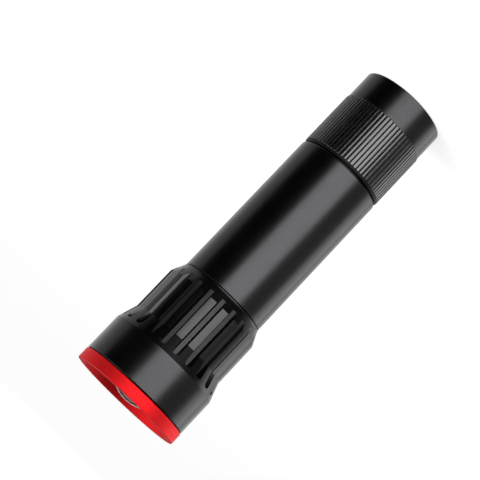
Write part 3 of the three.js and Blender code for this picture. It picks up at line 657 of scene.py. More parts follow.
def turned_aluminium():
    """Bare turned aluminium: pale grey metal with rings left by the tool."""
    # Tool rings 0.15 mm apart, drawn 0.35 mm wide
    rings = (0.35, 2.0, (0.05, 0.05, 1.0))
    return surface(
        "turned_aluminium",
        colour=(rings, "#b2b5b8", "#c6c8ca"),
        roughness=(rings, 0.28, 0.42),
        relief=(rings, 0.006),
        Metallic=1.0,
    )


def moulded_plastic(name, first, second):
    """Injection-moulded plastic: even colour, a fine spark-eroded texture and a low sheen."""
    # The mould's texture is about 0.1 mm; it is drawn 0.35 mm wide
    texture = (0.35,)
    flow = (6.0,)
    return surface(
        name,
        colour=(flow, first, second),
        roughness=(texture, 0.42, 0.56),
        relief=(texture, 0.008),
        IOR=1.54,
    )


def plated_metal(name, first, second, roughness):
    """Rolled or drawn metal, plated or lacquered: bright, with a little tarnish."""
    # Tarnish spreads in spots of 1 to 2 mm
    tarnish = (1.6, 4.0)
    return surface(
        name,
        colour=(tarnish, first, second),
        roughness=(tarnish, roughness, roughness + TARNISH_DULLING),
        Metallic=1.0,
    )


def solder_mask(name, first, second):
    """A printed board's lacquer: even colour with a soft gloss, slightly uneven over the copper."""
    # The lacquer pools between tracks about 1 mm apart
    flow = (1.2,)
    return surface(
        name,
        colour=(flow, first, second),
        roughness=(flow, 0.3, 0.45),
        relief=(flow, 0.01),
        IOR=1.5,
    )


BLACK_ANODISED = black_anodised_aluminium()
MILLED_BLACK = milled_black_anodised()
# Painted shade for the knurl's grooves and collar, and a painted highlight for its crests
PAINTED_SHADE_BLACK = painted_shade_black_anodised()
PAINTED_HIGHLIGHT_BLACK = painted_highlight_black_anodised()
RED_ANODISED = red_anodised_aluminium()
ACRYLIC = clear_acrylic()
RUBBER = black_rubber()
BARE_ALUMINIUM = turned_aluminium()
BLACK_ABS = moulded_plastic("black_abs", "#161718", "#1d1e20")
WHITE_ABS = moulded_plastic("white_abs", "#dcdad4", "#e8e6e0")
STEEL = plated_metal("nickel_plated_steel", "#a9abad", "#bcbec0", 0.22)
BRASS = plated_metal("rolled_brass", "#b08a3e", "#c7a052", 0.25)
COPPER = plated_metal("enamelled_copper", "#8f4a22", "#a65a2c", 0.25)
GREEN_BOARD = solder_mask("green_solder_mask", "#12472b", "#17552f")
WHITE_BOARD = solder_mask("white_solder_mask", "#dedcd5", "#efede7")
# Fired ceramic, shrunk film, wire sleeves and phosphor have the same even colour and low sheen as plastic
CERAMIC = moulded_plastic("white_ceramic", "#d9d7d0", "#e6e4de")
JACKET = moulded_plastic("printed_cell_jacket", "#23282c", "#2b3136")
JACKET_BAND = moulded_plastic("printed_cell_band", "#8a6a2c", "#987636")
RED_SLEEVE = moulded_plastic("red_wire_sleeve", "#9c1512", "#b01c17")
PHOSPHOR = moulded_plastic("led_phosphor", "#e2cf55", "#eedd70")

SLOT_MATERIAL = {
    "black_anodised": BLACK_ANODISED,
    "red_anodised": RED_ANODISED,
    "lens_clear": ACRYLIC,
    "bare_aluminium": BARE_ALUMINIUM,
    "seal_rubber": RUBBER,
    "button_rubber": RUBBER,
    "black_plastic": BLACK_ABS,
    "white_plastic": WHITE_ABS,
    "white_board": WHITE_BOARD,
    "green_board": GREEN_BOARD,
    "led_phosphor": PHOSPHOR,
    "plated_steel": STEEL,
    "spring_wire": STEEL,
    "brass": BRASS,
    "cell_jacket": JACKET,
    "red_wire": RED_SLEEVE,
    "black_wire": BLACK_ABS,
}
for node, solid in frame["nodes"].items():
    solid.data.materials.clear()
    solid.data.materials.append(SLOT_MATERIAL[SLOT_OF[node]])


# Shared stations and radii

cap_rear, cap_front, knurl_crest = reach("tail_cap")
barrel_rear, neck_front, barrel_radius = reach("barrel_tube")
head_rear, head_front, head_radius = reach("head_shell")
skirt_rear, bezel_front, bezel_radius = reach("bezel_ring")
lens_rear, lens_apex, lens_flange = reach("lens")
bore = barrel_radius - BARREL_WALL
thread_root = bore + SPIGOT_WALL
seal_land = thread_root + THREAD_DEPTH + SEAL_STEP
seal_start = cap_front - SEAL_LENGTH
neck_radius = bore + NECK_WALL
knurl_floor = knurl_crest - KNURL_DEPTH
band_radius = knurl_floor - CAP_BAND_STEP


# Tail cap and barrel

def thread_rows(root, crest, rear, front, angles):
    """Rows that follow a right-hand thread between two heights, for a ridge or a groove."""
    rows = []
    count = int((front - rear) / THREAD_PITCH + 1) * THREAD_STEPS + THREAD_STEPS
    base = THREAD_PITCH * int(rear / THREAD_PITCH - 1)
    for i in range(count + 1):
        rise = THREAD_PITCH * i / THREAD_STEPS
        aside = abs((rise / THREAD_PITCH + 0.5) % 1 - 0.5) * THREAD_PITCH
        height = min(1, max(0, (crest / 2 + THREAD_FLANK - aside) / THREAD_FLANK))
        row = []
        for a in angles:
            z = base + rise + THREAD_PITCH * a / (2 * pi)
            inside = min(z - rear, front - z)
            r = root + THREAD_DEPTH * height * min(1, max(0, inside / THREAD_FADE))
            z = min(front, max(rear, z))
            row.append((r * cos(a), r * sin(a), z))
        rows.append(row)
    return rows


def knurl_columns():
    """Angles and depth shares across the knurl: 0 on a tooth's crest, 1 in a groove."""
    half = pi / KNURL_TEETH
    floor = KNURL_GROOVE_FLOOR / 2 / knurl_floor
    top = KNURL_GROOVE / 2 / knurl_crest
    crown = (top + half) / 2
    near, low = KNURL_CROWN
    shape = [(-half, 0), (-crown, near), (-top, low), (-floor, 1), (floor, 1), (top, low), (crown, near)]
    columns = [(2 * half * k + a, share) for k in range(KNURL_TEETH) for a, share in shape]
    return [*columns, (columns[0][0] + 2 * pi, columns[0][1])]


def tail_cap():
    """Plain band, straight knurl, collar, seal bore, thread, and the stepped bay for the switch."""
    columns = knurl_columns()
    angles = [a for a, _ in columns]
    knurl_end = cap_front - CAP_COLLAR_LENGTH
    switch_bay = reach("switch_housing")[2] + SWITCH_ROOM
    button_bay = reach("tail_button")[2] + SWITCH_ROOM
    button_hole = button_bay - BUTTON_FLANGE
    button_stop = RECESS_DEPTH + END_WALL
    board_front = reach("switch_board")[1]
    ledge = reach("switch_housing")[0] - LEDGE_ROOM
    minor = thread_root + THREAD_CLEARANCE
    thread_end = seal_start - SEAL_RELIEF
    seal_bore = seal_land + SEAL_CLEARANCE
    collar_face = band_radius - CAP_COLLAR_FACE
    rear = rounded([
        (RECESS_RADIUS, cap_rear, ROUND_EDGE),
        (band_radius, cap_rear, SOFT_EDGE),
        (band_radius, CAP_BAND_LENGTH),
    ])
    collar = rounded([
        (band_radius, knurl_end),
        (band_radius, cap_front, COLLAR_EDGE),
        (collar_face, cap_front),
    ])
    front = rounded([
        (collar_face, cap_front),
        (seal_bore, cap_front, SOFT_EDGE),
        (seal_bore, thread_end),
        (minor, thread_end),
    ])
    inside = rounded([
        (minor, board_front),
        (switch_bay, board_front),
        (switch_bay, ledge),
        (button_bay, ledge),
        (button_bay, button_stop),
        (button_hole, button_stop),
        (button_hole, RECESS_DEPTH, ROUND_EDGE),
        (RECESS_RADIUS, RECESS_DEPTH, ROUND_EDGE),
    ])
    knurl = []
    for z, drop in (
        (CAP_BAND_LENGTH, KNURL_CHAMFER),
        (CAP_BAND_LENGTH + KNURL_CHAMFER, 0),
        (knurl_end - KNURL_CHAMFER, 0),
        (knurl_end, KNURL_CHAMFER),
    ):
        radii = [min(knurl_crest - drop, knurl_crest - KNURL_DEPTH * share) for _, share in columns]
        knurl.append([(r * cos(a), r * sin(a), z) for r, a in zip(radii, angles)])
    thread = thread_rows(minor, THREAD_CREST + THREAD_GROOVE_ROOM, board_front, thread_end, angles)
    bm = bmesh.new()
    rear_rows = circles(rear, angles)
    net(bm, rear_rows + knurl[:1])
    # The knurl's grooves and the collar take painted shade, and its crests a painted highlight
    painted_shade, painted_highlight = SECOND, THIRD
    net(bm, knurl, painted_highlight, painted_highlight, painted_shade, painted_shade, painted_shade, painted_highlight, painted_highlight)
    net(bm, knurl[-1:] + circles(collar, angles), painted_shade)
    net(bm, circles(front, angles) + thread[::-1] + circles(inside, angles) + rear_rows[:1])
    finished("tail_cap", bm, BLACK_ANODISED, PAINTED_SHADE_BLACK, PAINTED_HIGHLIGHT_BLACK)


def barrel_tube():
    """Threaded spigot, O-ring land, plain grip, and the neck that the head slides on."""
    angles = around(SIDES)
    grip_rear = cap_front + CAP_GAP
    shoulder = head_rear - HEAD_GAP
    low, high, _ = reach("tail_o_ring")
    tail_groove = (low - GROOVE_ROOM, high + GROOVE_ROOM)
    low, high, _ = reach("neck_o_ring")
    neck_groove = (low - GROOVE_ROOM, high + GROOVE_ROOM)
    tail_floor = seal_land - TAIL_GROOVE_DEPTH
    neck_floor = neck_radius - NECK_GROOVE_DEPTH
    thread_start = barrel_rear + THREAD_LEAD
    spigot = rounded([
        (bore, barrel_rear, SOFT_EDGE),
        (thread_root, barrel_rear, SOFT_EDGE),
        (thread_root, thread_start),
    ])
    grip = rounded([
        (thread_root, seal_start),
        (seal_land, seal_start, JOINT_EDGE),
        (seal_land, tail_groove[0], HAIR_EDGE),
        (tail_floor, tail_groove[0]),
        (tail_floor, tail_groove[1]),
        (seal_land, tail_groove[1], HAIR_EDGE),
        (seal_land, grip_rear),
        (barrel_radius, grip_rear, COLLAR_EDGE),
        (barrel_radius, shoulder, JOINT_EDGE),
        (neck_radius, shoulder),
        (neck_radius, neck_groove[0], HAIR_EDGE),
        (neck_floor, neck_groove[0]),
        (neck_floor, neck_groove[1]),
        (neck_radius, neck_groove[1], HAIR_EDGE),
        (neck_radius, neck_front, ROUND_EDGE),
        (bore, neck_front, FINE_EDGE),
    ])
    thread = thread_rows(thread_root, THREAD_CREST, thread_start, seal_start, angles)
    bm = bmesh.new()
    rows = circles(spigot, angles) + thread + circles(grip, angles)
    net(bm, rows + [rows[0]])
    finished("barrel_tube", bm, BLACK_ANODISED)


# Zoom head

def head_shell():
    """Rear taper, slotted lands, front taper and front band, bored for the neck, the LED and the bezel."""
    slot_floor = HEAD_LAND_RADIUS - SLOT_DEPTH
    land_rear = head_rear + HEAD_REAR_TAPER
    land_front = land_rear + HEAD_LAND_LENGTH
    band_rear = land_front + HEAD_FRONT_TAPER
    taper_front = band_rear - HEAD_BAND_BLEND
    rear_edge = head_rear + HEAD_REAR_EDGE
    guide = neck_radius + HEAD_GUIDE_CLEARANCE
    guide_rear = head_rear + HEAD_GUIDE_START
    guide_front = head_rear + HEAD_GUIDE_LENGTH
    front_bore = head_radius - HEAD_FRONT_WALL
    chamber_front = head_front - HEAD_FRONT_BORE
    half = SLOT_WIDTH / 2
    floor_half = half - SLOT_DRAFT
    arc_start = band_rear - SLOT_MARGIN - half
    rear_slope = (HEAD_LAND_RADIUS - HEAD_REAR_RADIUS) / (land_rear - rear_edge)
    front_slope = (head_radius - HEAD_LAND_RADIUS) / HEAD_FRONT_TAPER
    sector = 2 * pi / SLOT_COUNT

    def outside(z):
        """Radius of the lands and tapers at a height."""
        taper = HEAD_LAND_RADIUS - rear_slope * max(0, land_rear - z)
        return taper + front_slope * max(0, z - land_front)

    def slot_rear(x):
        """Height where the slot's floor runs out through the rear taper."""
        return rear_edge + (hypot(slot_floor, x) - HEAD_REAR_RADIUS) / rear_slope

    def slot_end(x, radius):
        """Height of the slot's round front end."""
        return arc_start + sqrt(max(0, radius ** 2 - x ** 2))

    def over_slot(x, z):
        """The point of the surface at a place across the slot."""
        return (x, sqrt(outside(z) ** 2 - x ** 2), z)

    def edge(z):
        """Half the slot's width at the surface, over walls that lean out."""
        depth = sqrt(outside(z) ** 2 - floor_half ** 2) - slot_floor
        return floor_half + SLOT_DRAFT * min(1, max(0, depth / SLOT_DEPTH))

    def land(side, z):
        """Points across half a land at one height, from the slot's edge to the land's middle."""
        first = asin(edge(z) / outside(z))
        turns = [first + (sector / 2 - first) * k / LAND_STEPS for k in range(LAND_STEPS + 1)]
        return [(side * outside(z) * sin(a), outside(z) * cos(a), z) for a in turns]

    def full_row(columns, share, low, high):
        """A row across one sector, at a share of the way between two edges."""
        side = columns[-1]
        level = low(side) + (high(side) - low(side)) * share
        middle = [over_slot(x, low(x) + (high(x) - low(x)) * share) for x in columns]
        return land(-1, level)[:0:-1] + middle + land(1, level)[1:]

    def floor_row(share):
        """A row across the slot's floor, at a share of the way along its round end."""
        ends = [slot_end(x, floor_half) - arc_start for x in floor_across]
        return [(x, slot_floor, arc_start + end * share) for x, end in zip(floor_across, ends)]

    shares = [-cos(pi * k / SLOT_STEPS) for k in range(SLOT_STEPS + 1)]
    across = [half * share for share in shares]
    floor_across = [floor_half * share for share in shares]
    steps = [k / SLOT_END_STEPS for k in range(SLOT_END_STEPS + 1)]
    levels = [slot_rear(floor_half)]
    for crease in (land_rear, land_front):
        levels += [crease - HEAD_CREASE, crease, crease + HEAD_CREASE]
    levels.append(arc_start)
    sector_nets = [
        [full_row(floor_across, share, lambda x: rear_edge, slot_rear) for share in steps],
        [full_row(across, share, lambda x: slot_end(x, half), lambda x: taper_front) for share in steps],
        [land(-1, z) for z in levels],
        [land(1, z) for z in levels],
        [[over_slot(x, slot_end(x, half)) for x in across], floor_row(1)],
    ]
    for side in (-1, 1):
        wall = [[over_slot(side * edge(z), z), (side * floor_half, slot_floor, z)] for z in levels]
        sector_nets.append(wall)
    floor_nets = [
        [[(x, slot_floor, slot_rear(x)) for x in floor_across], floor_row(0)],
        [floor_row(share) for share in steps],
    ]

    bm = bmesh.new()
    first_row, last_row = [], []
    for i in range(SLOT_COUNT):
        turn = Matrix.Rotation(radians(SLOT_PHASE) + sector * i - pi / 2, 3, "Z")
        placed = [[[turn @ Vector(p) for p in row] for row in rows] for rows in sector_nets + floor_nets]
        for k, rows in enumerate(placed):
            net(bm, rows, FIRST if k < len(sector_nets) else SECOND)
        first_row += placed[0][0][::-1][:-1]
        last_row += placed[1][-1][::-1][:-1]

    def swept(row, outline):
        """An outline turned through the same angles as a row of points."""
        angles = [Vector(p).xy.normalized() for p in closed(row)]
        return [[(r * a.x, r * a.y, z) for a in angles] for r, z in outline]

    rear = rounded([
        (guide, guide_rear),
        (guide, head_rear, LIP_EDGE),
        (HEAD_REAR_RADIUS, head_rear, JOINT_EDGE),
        (HEAD_REAR_RADIUS, rear_edge),
    ])
    front = rounded([
        (outside(taper_front), taper_front),
        (head_radius, band_rear, ROUND_EDGE),
        (head_radius, head_front, ROUND_EDGE),
        (front_bore, head_front, FINE_EDGE),
        (front_bore, chamber_front),
        (HEAD_CHAMBER, chamber_front),
        (HEAD_CHAMBER, guide_front),
        (guide, guide_front, SOFT_EDGE),
        (guide, guide_rear),
    ])
    net(bm, swept(last_row, front) + swept(first_row, rear))
    finished("head_shell", bm, BLACK_ANODISED, MILLED_BLACK)


def bezel_ring():
    """Red bezel with its dish, and the lip that keeps the lens in."""
    lip_front = bezel_front - BEZEL_LIP_FRONT
    lip_rear = lip_front - BEZEL_LIP
    turned_piece("bezel_ring", [
        (BEZEL_BAY, skirt_rear, SOFT_EDGE),
        (BEZEL_SKIRT, skirt_rear, SOFT_EDGE),
        (BEZEL_SKIRT, bezel_front - BEZEL_BAND),
        (bezel_radius, bezel_front - BEZEL_BAND, LIP_EDGE),
        (bezel_radius, bezel_front, SMALL_EDGE),
        (bezel_radius - BEZEL_RIM, bezel_front, SOFT_EDGE),
        (BEZEL_LIP_RADIUS, lip_front, SMALL_EDGE),
        (BEZEL_LIP_RADIUS, lip_rear),
        (BEZEL_BAY, lip_rear),
    ], RED_ANODISED, sides=BEZEL_SIDES)


def domed_lens():
    """A flat-backed lens with a steep dome and a flange to hold it by."""
    dome = []
    for k in range(LENS_STEPS + 1):
        r = LENS_DOME_RADIUS * (1 - k / LENS_STEPS)
        dome.append((r, lens_apex - r ** 2 / (2 * LENS_APEX_RADIUS)))
    flange_front = lens_rear + LENS_FLANGE_THICKNESS
    lens = turned_piece("lens", [
        (0, lens_rear),
        (lens_flange, lens_rear, SMALL_EDGE),
        (lens_flange, flange_front, SMALL_EDGE),
        (LENS_DOME_RADIUS, flange_front),
        *dome,
    ], ACRYLIC, sides=LENS_SIDES)
    # The LED behind it is lit through it
    lens.visible_shadow = False


# Seals and button

def o_ring(node, section):
    """A moulded ring of round section, with the faint flash line of its mould."""
    low, high, outer = reach(node)
    middle = (low + high) / 2
    ring = []
    for k in range(RING_STEPS):
        a = 2 * pi * k / RING_STEPS
        on_flash = k % (RING_STEPS // 2) == 0
        r = section / 2 - (0 if on_flash else RING_FLASH)
        ring.append((outer - section / 2 + r * cos(a), middle + r * sin(a)))
    turned_piece(node, ring, RUBBER)


def tail_button():
    """Rubber-faced push button: low crown with a ring moulded into it, and the flange that keeps it in."""
    low, high, flange = reach("tail_button")
    radius = flange - BUTTON_FLANGE
    flange_rear = high - BUTTON_FLANGE_THICKNESS
    crown = []
    for k in range(CROWN_STEPS + 1):
        r = radius * CROWN_SHARE * k / CROWN_STEPS
        dip = CROWN_RING_DEPTH * max(0, 1 - abs(r - CROWN_RING_RADIUS) / CROWN_RING_HALF_WIDTH)
        crown.append((r, low + CROWN_FALL * (r / radius) ** 2 + dip))
    turned_piece("tail_button", [
        *crown,
        (radius, low + CROWN_EDGE, ROUND_EDGE),
        (radius, flange_rear),
        (flange, flange_rear, SOFT_EDGE),
        (flange, high, SOFT_EDGE),
        (0, high),
    ], RUBBER)


# LED set

def drilled(piece, rear, front):
    """Bores a piece for the LED's wires and screws."""
    wire = wire_line("led_wire_red")
    screw = middle_of("led_screw_1")[1]
    low, high = rear - CUT_MARGIN, front + CUT_MARGIN
    bm = bmesh.new()
    holes = [(side * wire, 0, WIRE_HOLE) for side in (-1, 1)]
    holes += [(0, side * screw, SCREW_HOLE) for side in (-1, 1)]
    for x, y, radius in holes:
        lathe(bm, [(0, low), (radius, low), (radius, high), (0, high)], at=(x, y))
    carved(piece, bm)


def led_pill():
    """Turned heat-sink cup that is pressed into the neck, with the flange that stops the head."""
    rear, front, flange = reach("led_pill")
    step = reach("driver_board")[1] + PILL_CLEARANCE
    flange_rear = neck_front + PILL_CLEARANCE
    body = bore - PILL_CLEARANCE
    cavity = body - PILL_WALL
    seat = body - PILL_SEAT_WALL
    top_rear = front - PILL_TOP
    pill = turned_piece("led_pill", [
        (seat, rear),
        (body, rear, SOFT_EDGE),
        (body, flange_rear),
        (flange, flange_rear, SMALL_EDGE),
        (flange, front, ROUND_EDGE),
        (0, front),
        (0, top_rear),
        (cavity, top_rear, PILL_EDGE),
        (cavity, step),
        (seat, step),
    ], BARE_ALUMINIUM)
    drilled(pill, top_rear, front)


def led_board():
    """White round board with two tinned pads and a blob of solder on each."""
    rear, front, radius = reach("led_board")
    board = turned_piece("led_board", [
        (0, rear),
        (radius, rear, FINE_EDGE),
        (radius, front, FINE_EDGE),
        (0, front),
    ], WHITE_BOARD, STEEL, sides=BOARD_SIDES)
    drilled(board, rear, front)
    bm = bmesh.new()
    bm.from_mesh(board.data)
    bm.transform(Matrix.Scale(1 / MM, 4))
    blob = [(SOLDER_RADIUS * cos(a), front + SOLDER_HEIGHT * sin(a)) for a in quarter()]
    for x in (-SOLDER_PLACE, SOLDER_PLACE):
        lathe(bm, blob, BLOB_SIDES, SECOND, (x, 0))
        low = (x - PAD_WIDTH / 2, -PAD_LENGTH / 2, front)
        high = (x + PAD_WIDTH / 2, PAD_LENGTH / 2, front + PAD_HEIGHT)
        slab(bm, low, high, SECOND)
    bm.transform(Matrix.Scale(MM, 4))
    bm.to_mesh(board.data)
    bm.free()


def led_emitter():
    """A ceramic base with a phosphor dome."""
    low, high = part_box("led_emitter")
    half = high.x / MM
    base_rear = low.z / MM
    base_front = base_rear + EMITTER_BASE
    dome = high.z / MM - base_front
    bm = bmesh.new()
    slab(bm, (-half, -half, base_rear), (half, half, base_front))
    lathe(bm, [(dome * cos(a), base_front + dome * sin(a)) for a in quarter()], SCREW_SIDES, SECOND)
    finished("led_emitter", bm, CERAMIC, PHOSPHOR)


def led_screw(node):
    """A pan-headed screw with a cross in its head."""
    at = middle_of(node)
    low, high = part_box(node)
    tip, top = low.z / MM, high.z / MM
    head = (high.x - low.x) / 2 / MM
    seat = top - SCREW_HEAD
    piece = turned_piece(node, [
        (0, tip),
        (SCREW_SHANK, tip, SOFT_EDGE),
        (SCREW_SHANK, seat),
        (head, seat, SCREW_EDGE),
        *[(head * share, top - depth) for share, depth in SCREW_CROWN],
        (0, top),
    ], STEEL, sides=SCREW_SIDES, at=at)
    for length, width in ((CROSS_LENGTH, CROSS_WIDTH), (CROSS_WIDTH, CROSS_LENGTH)):
        bm = bmesh.new()
        low = (at[0] - length / 2, at[1] - width / 2, top - CROSS_DEPTH)
        high = (at[0] + length / 2, at[1] + width / 2, top + CUT_MARGIN)
        slab(bm, low, high)
        carved(piece, bm)


def led_wire(node, sleeve):
    """A sleeved wire that comes up through the pill and bends in to its pad, with a bare end."""
    low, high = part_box(node)
    side = 1 if high.x > 0 else -1
    outer = side * wire_line("led_wire_red")
    inner = side * min(abs(low.x), abs(high.x)) / MM
    top = high.z / MM - WIRE_RADIUS
    end = top - WIRE_DROP
    path = [(outer, 0, low.z / MM)]
    for a in quarter():
        path.append((outer - side * WIRE_BEND * (1 - cos(a)), 0, top - WIRE_BEND * (1 - sin(a))))
    path.append((inner, 0, end))
    bm = bmesh.new()
    tube(bm, path, WIRE_RADIUS)
    strand = [(inner, 0, end), (inner - side * STRAND_LENGTH, 0, end - STRAND_DROP)]
    tube(bm, strand, STRAND_RADIUS, paint=SECOND)
    finished(node, bm, sleeve, COPPER)


# Driver set

def driver_board():
    """Green board with the pad of its spring and four small resistors."""
    rear, front, radius = reach("driver_board")
    half = RESISTOR_LENGTH / 2
    side = RESISTOR_WIDTH / 2
    top = front + RESISTOR_HEIGHT
    proud = RESISTOR_END_PROUD
    bm = bmesh.new()
    disc(bm, rear, front, radius, FINE_EDGE)
    spring_pad(bm, rear, -FOIL, DRIVER_PAD)
    for x, y in RESISTOR_PLACES:
        slab(bm, (x - half, y - side, front), (x + half, y + side, top), THIRD)
        for end in (x - half, x + half):
            low = (end - RESISTOR_END / 2, y - side - proud, front)
            high = (end + RESISTOR_END / 2, y + side + proud, top + proud)
            slab(bm, low, high, FOURTH)
    finished("driver_board", bm, GREEN_BOARD, BRASS, CERAMIC, STEEL)


def driver_inductor():
    """A ferrite spool with its winding."""
    at = middle_of("driver_inductor")
    rear, front, radius = reach("driver_inductor")
    wound_rear, wound_front = rear + INDUCTOR_FLANGE, front - INDUCTOR_FLANGE
    steps = INDUCTOR_TURNS * INDUCTOR_TURN_STEPS
    winding = []
    for k in range(steps + 1):
        proud = INDUCTOR_WIRE_PROUD * abs(sin(pi * k / INDUCTOR_TURN_STEPS))
        height = wound_rear + (wound_front - wound_rear) * k / steps
        winding.append((radius - INDUCTOR_WAIST + proud, height))
    bm = bmesh.new()
    for low, high in ((rear, wound_rear), (wound_front, front)):
        disc(bm, low, high, radius, JOINT_EDGE, SMALL_SIDES, at)
    lathe(bm, winding, SMALL_SIDES, SECOND, at)
    finished("driver_inductor", bm, BLACK_ABS, COPPER)


def driver_chip():
    """A moulded chip on eight bent legs."""
    low, high = [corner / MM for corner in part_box("driver_chip")]
    bm = bmesh.new()
    foot = (low.x + CHIP_LEG_REACH, low.y, low.z + CHIP_STANDOFF)
    slab(bm, foot, (high.x - CHIP_LEG_REACH, high.y, high.z))
    bmesh.ops.bevel(bm, geom=list(bm.edges), offset=JOINT_EDGE, segments=2, affect="EDGES", profile=0.5)
    row = high.y - low.y - 2 * CHIP_LEG_MARGIN
    for k in range(CHIP_LEGS):
        y = low.y + CHIP_LEG_MARGIN + row * k / (CHIP_LEGS - 1)
        for side in (-1, 1):
            path = [(side * (high.x - inward), y, low.z + above) for inward, above in LEG_PATH]
            tube(bm, path, LEG_RADIUS, LEG_SIDES, SECOND)
    finished("driver_chip", bm, BLACK_ABS, STEEL)


# Springs

def spring(node, rear_width, front_width, turns, wire, at=(0, 0)):
    """A coil of steel wire, closed flat at both ends."""
    low, high, _ = reach(node)
    path = []
    steps = int(turns * COIL_STEPS)
    for k in range(steps + 1):
        t = k / steps
        climb = min(1, max(0, (t * turns - COIL_FLAT_TURN) / (turns - 2 * COIL_FLAT_TURN)))
        r = (rear_width + (front_width - rear_width) * t - wire) / 2
        a = 2 * pi * turns * t
        z = low + wire / 2 + (high - low - wire) * climb
        path.append((at[0] + r * cos(a), at[1] + r * sin(a), z))
    bm = bmesh.new()
    tube(bm, path, wire / 2, COIL_SIDES)
    return finished(node, bm, STEEL)


# Battery set

def cell(node, forward):
    """AAA cell: printed jacket shrunk over the can's ends, bare base, and the positive cap in its ring."""
    low, high, outer = reach(node)
    at = middle_of(node)
    radius = outer - at[0]
    length = high - low
    shoulder = length - NUB_HEIGHT
    seat = shoulder - NUB_SINK
    split = shoulder * CELL_BAND_SHARE
    rim = radius - CELL_RIM
    groove_start, groove_end = [rim - width for width in BASE_GROOVE]
    parts = [
        ([(0, 0), (groove_start, 0), (groove_end, BASE_SINK), (rim, BASE_SINK)], THIRD),
        ([(rim, BASE_SINK), (rim, 0), (radius, 0, CELL_EDGE), (radius, split)], FIRST),
        ([(radius, split), (radius, shoulder, CELL_EDGE), (rim, shoulder), (rim, seat)], SECOND),
        ([(rim, seat), (NUB_RADIUS, seat), (NUB_RADIUS, length, LIP_EDGE), (0, length)], THIRD),
    ]
    bm = bmesh.new()
    for outline, paint in parts:
        placed = [(r, low + z if forward else high - z) for r, z in rounded(outline)]
        lathe(bm, placed, CELL_SIDES, paint, at)
    finished(node, bm, JACKET, JACKET_BAND, STEEL)


def carrier_frame():
    """Two end discs and three ribs, moulded in one, that hold the cells."""
    rear, front, radius = reach("carrier_frame")
    inner = radius - CARRIER_RIB
    rear_disc, front_disc = rear + CARRIER_DISC, front - CARRIER_DISC
    levels = [rear_disc - RIB_ROOT, front_disc + RIB_ROOT]
    bm = bmesh.new()
    for low, high in ((rear, rear_disc), (front_disc, front)):
        plate = rounded([
            (RIVET_HOLE, low),
            (radius, low, LIP_EDGE),
            (radius, high, LIP_EDGE),
            (RIVET_HOLE, high),
        ])
        lathe(bm, closed(plate), BOARD_SIDES)
    for middle in RIB_ANGLES:
        turns = [radians(middle + RIB_SPAN * (k / RIB_STEPS - 0.5)) for k in range(RIB_STEPS + 1)]
        section = [(radius * cos(a), radius * sin(a)) for a in turns]
        section += [(inner * cos(a), inner * sin(a)) for a in turns[::-1]]
        grid = [[bm.verts.new((x, y, z)) for x, y in section] for z in levels]
        for k in range(len(section)):
            ahead = (k + 1) % len(section)
            bm.faces.new((grid[0][k], grid[0][ahead], grid[1][ahead], grid[1][k]))
        for ring in grid:
            bm.faces.new(ring)
    finished("carrier_frame", bm, BLACK_ABS)


# Switch set

def switch_plunger():
    """White moulded pin with a wider head that stays inside the housing."""
    rear, front, radius = reach("switch_plunger")
    stem = radius - PLUNGER_STEP
    head = front - PLUNGER_HEAD
    turned_piece("switch_plunger", [
        (0, rear),
        (stem, rear, ROUND_EDGE),
        (stem, head),
        (radius, head, SMALL_EDGE),
        (radius, front, SMALL_EDGE),
        (0, front),
    ], WHITE_ABS, sides=SMALL_SIDES)


def switch_housing():
    """Moulded switch body with a flange, and a chamber for the plunger and its spring."""
    rear, front, radius = reach("switch_housing")
    stem = reach("switch_plunger")[2] - PLUNGER_STEP
    body = radius - HOUSING_STEP
    flange = rear + HOUSING_FLANGE
    hole = stem + PLUNGER_ROOM
    chamber = stem + RETURN_SPRING_ROOM
    chamber_front = front - HOUSING_WALL
    chamber_rear = rear + HOUSING_WALL
    turned_piece("switch_housing", [
        (hole, rear, SMALL_EDGE),
        (radius, rear, SMALL_EDGE),
        (radius, flange, SMALL_EDGE),
        (body, flange),
        (body, front, ROUND_EDGE),
        (0, front),
        (0, chamber_front),
        (chamber, chamber_front),
        (chamber, chamber_rear),
        (hole, chamber_rear),
    ], BLACK_ABS, sides=BOARD_SIDES)


def switch_board():
    """Green board with the pad of the tail spring."""
    rear, front, radius = reach("switch_board")
    bm = bmesh.new()
    disc(bm, rear, front, radius, FINE_EDGE)
    spring_pad(bm, front, FOIL, SWITCH_PAD)
    finished("switch_board", bm, GREEN_BOARD, BRASS)


def switch_retainer():
    """Ring nut over the switch, with two notches for the tool that tightens it."""
    _, front, radius = reach("switch_retainer")
    inner = radius - NUT_WIDTH
    nut = ring_piece("switch_retainer", NUT_WIDTH, SMALL_EDGE, BARE_ALUMINIUM)
    bm = bmesh.new()
    for side in (-1, 1):
        middle = side * (inner + NOTCH_PLACE)
        low = (middle - NOTCH_LENGTH / 2, -NOTCH_WIDTH / 2, front - NOTCH_DEPTH)
        high = (middle + NOTCH_LENGTH / 2, NOTCH_WIDTH / 2, front + CUT_MARGIN)
        slab(bm, low, high)
    carved(nut, bm)


# The assembly

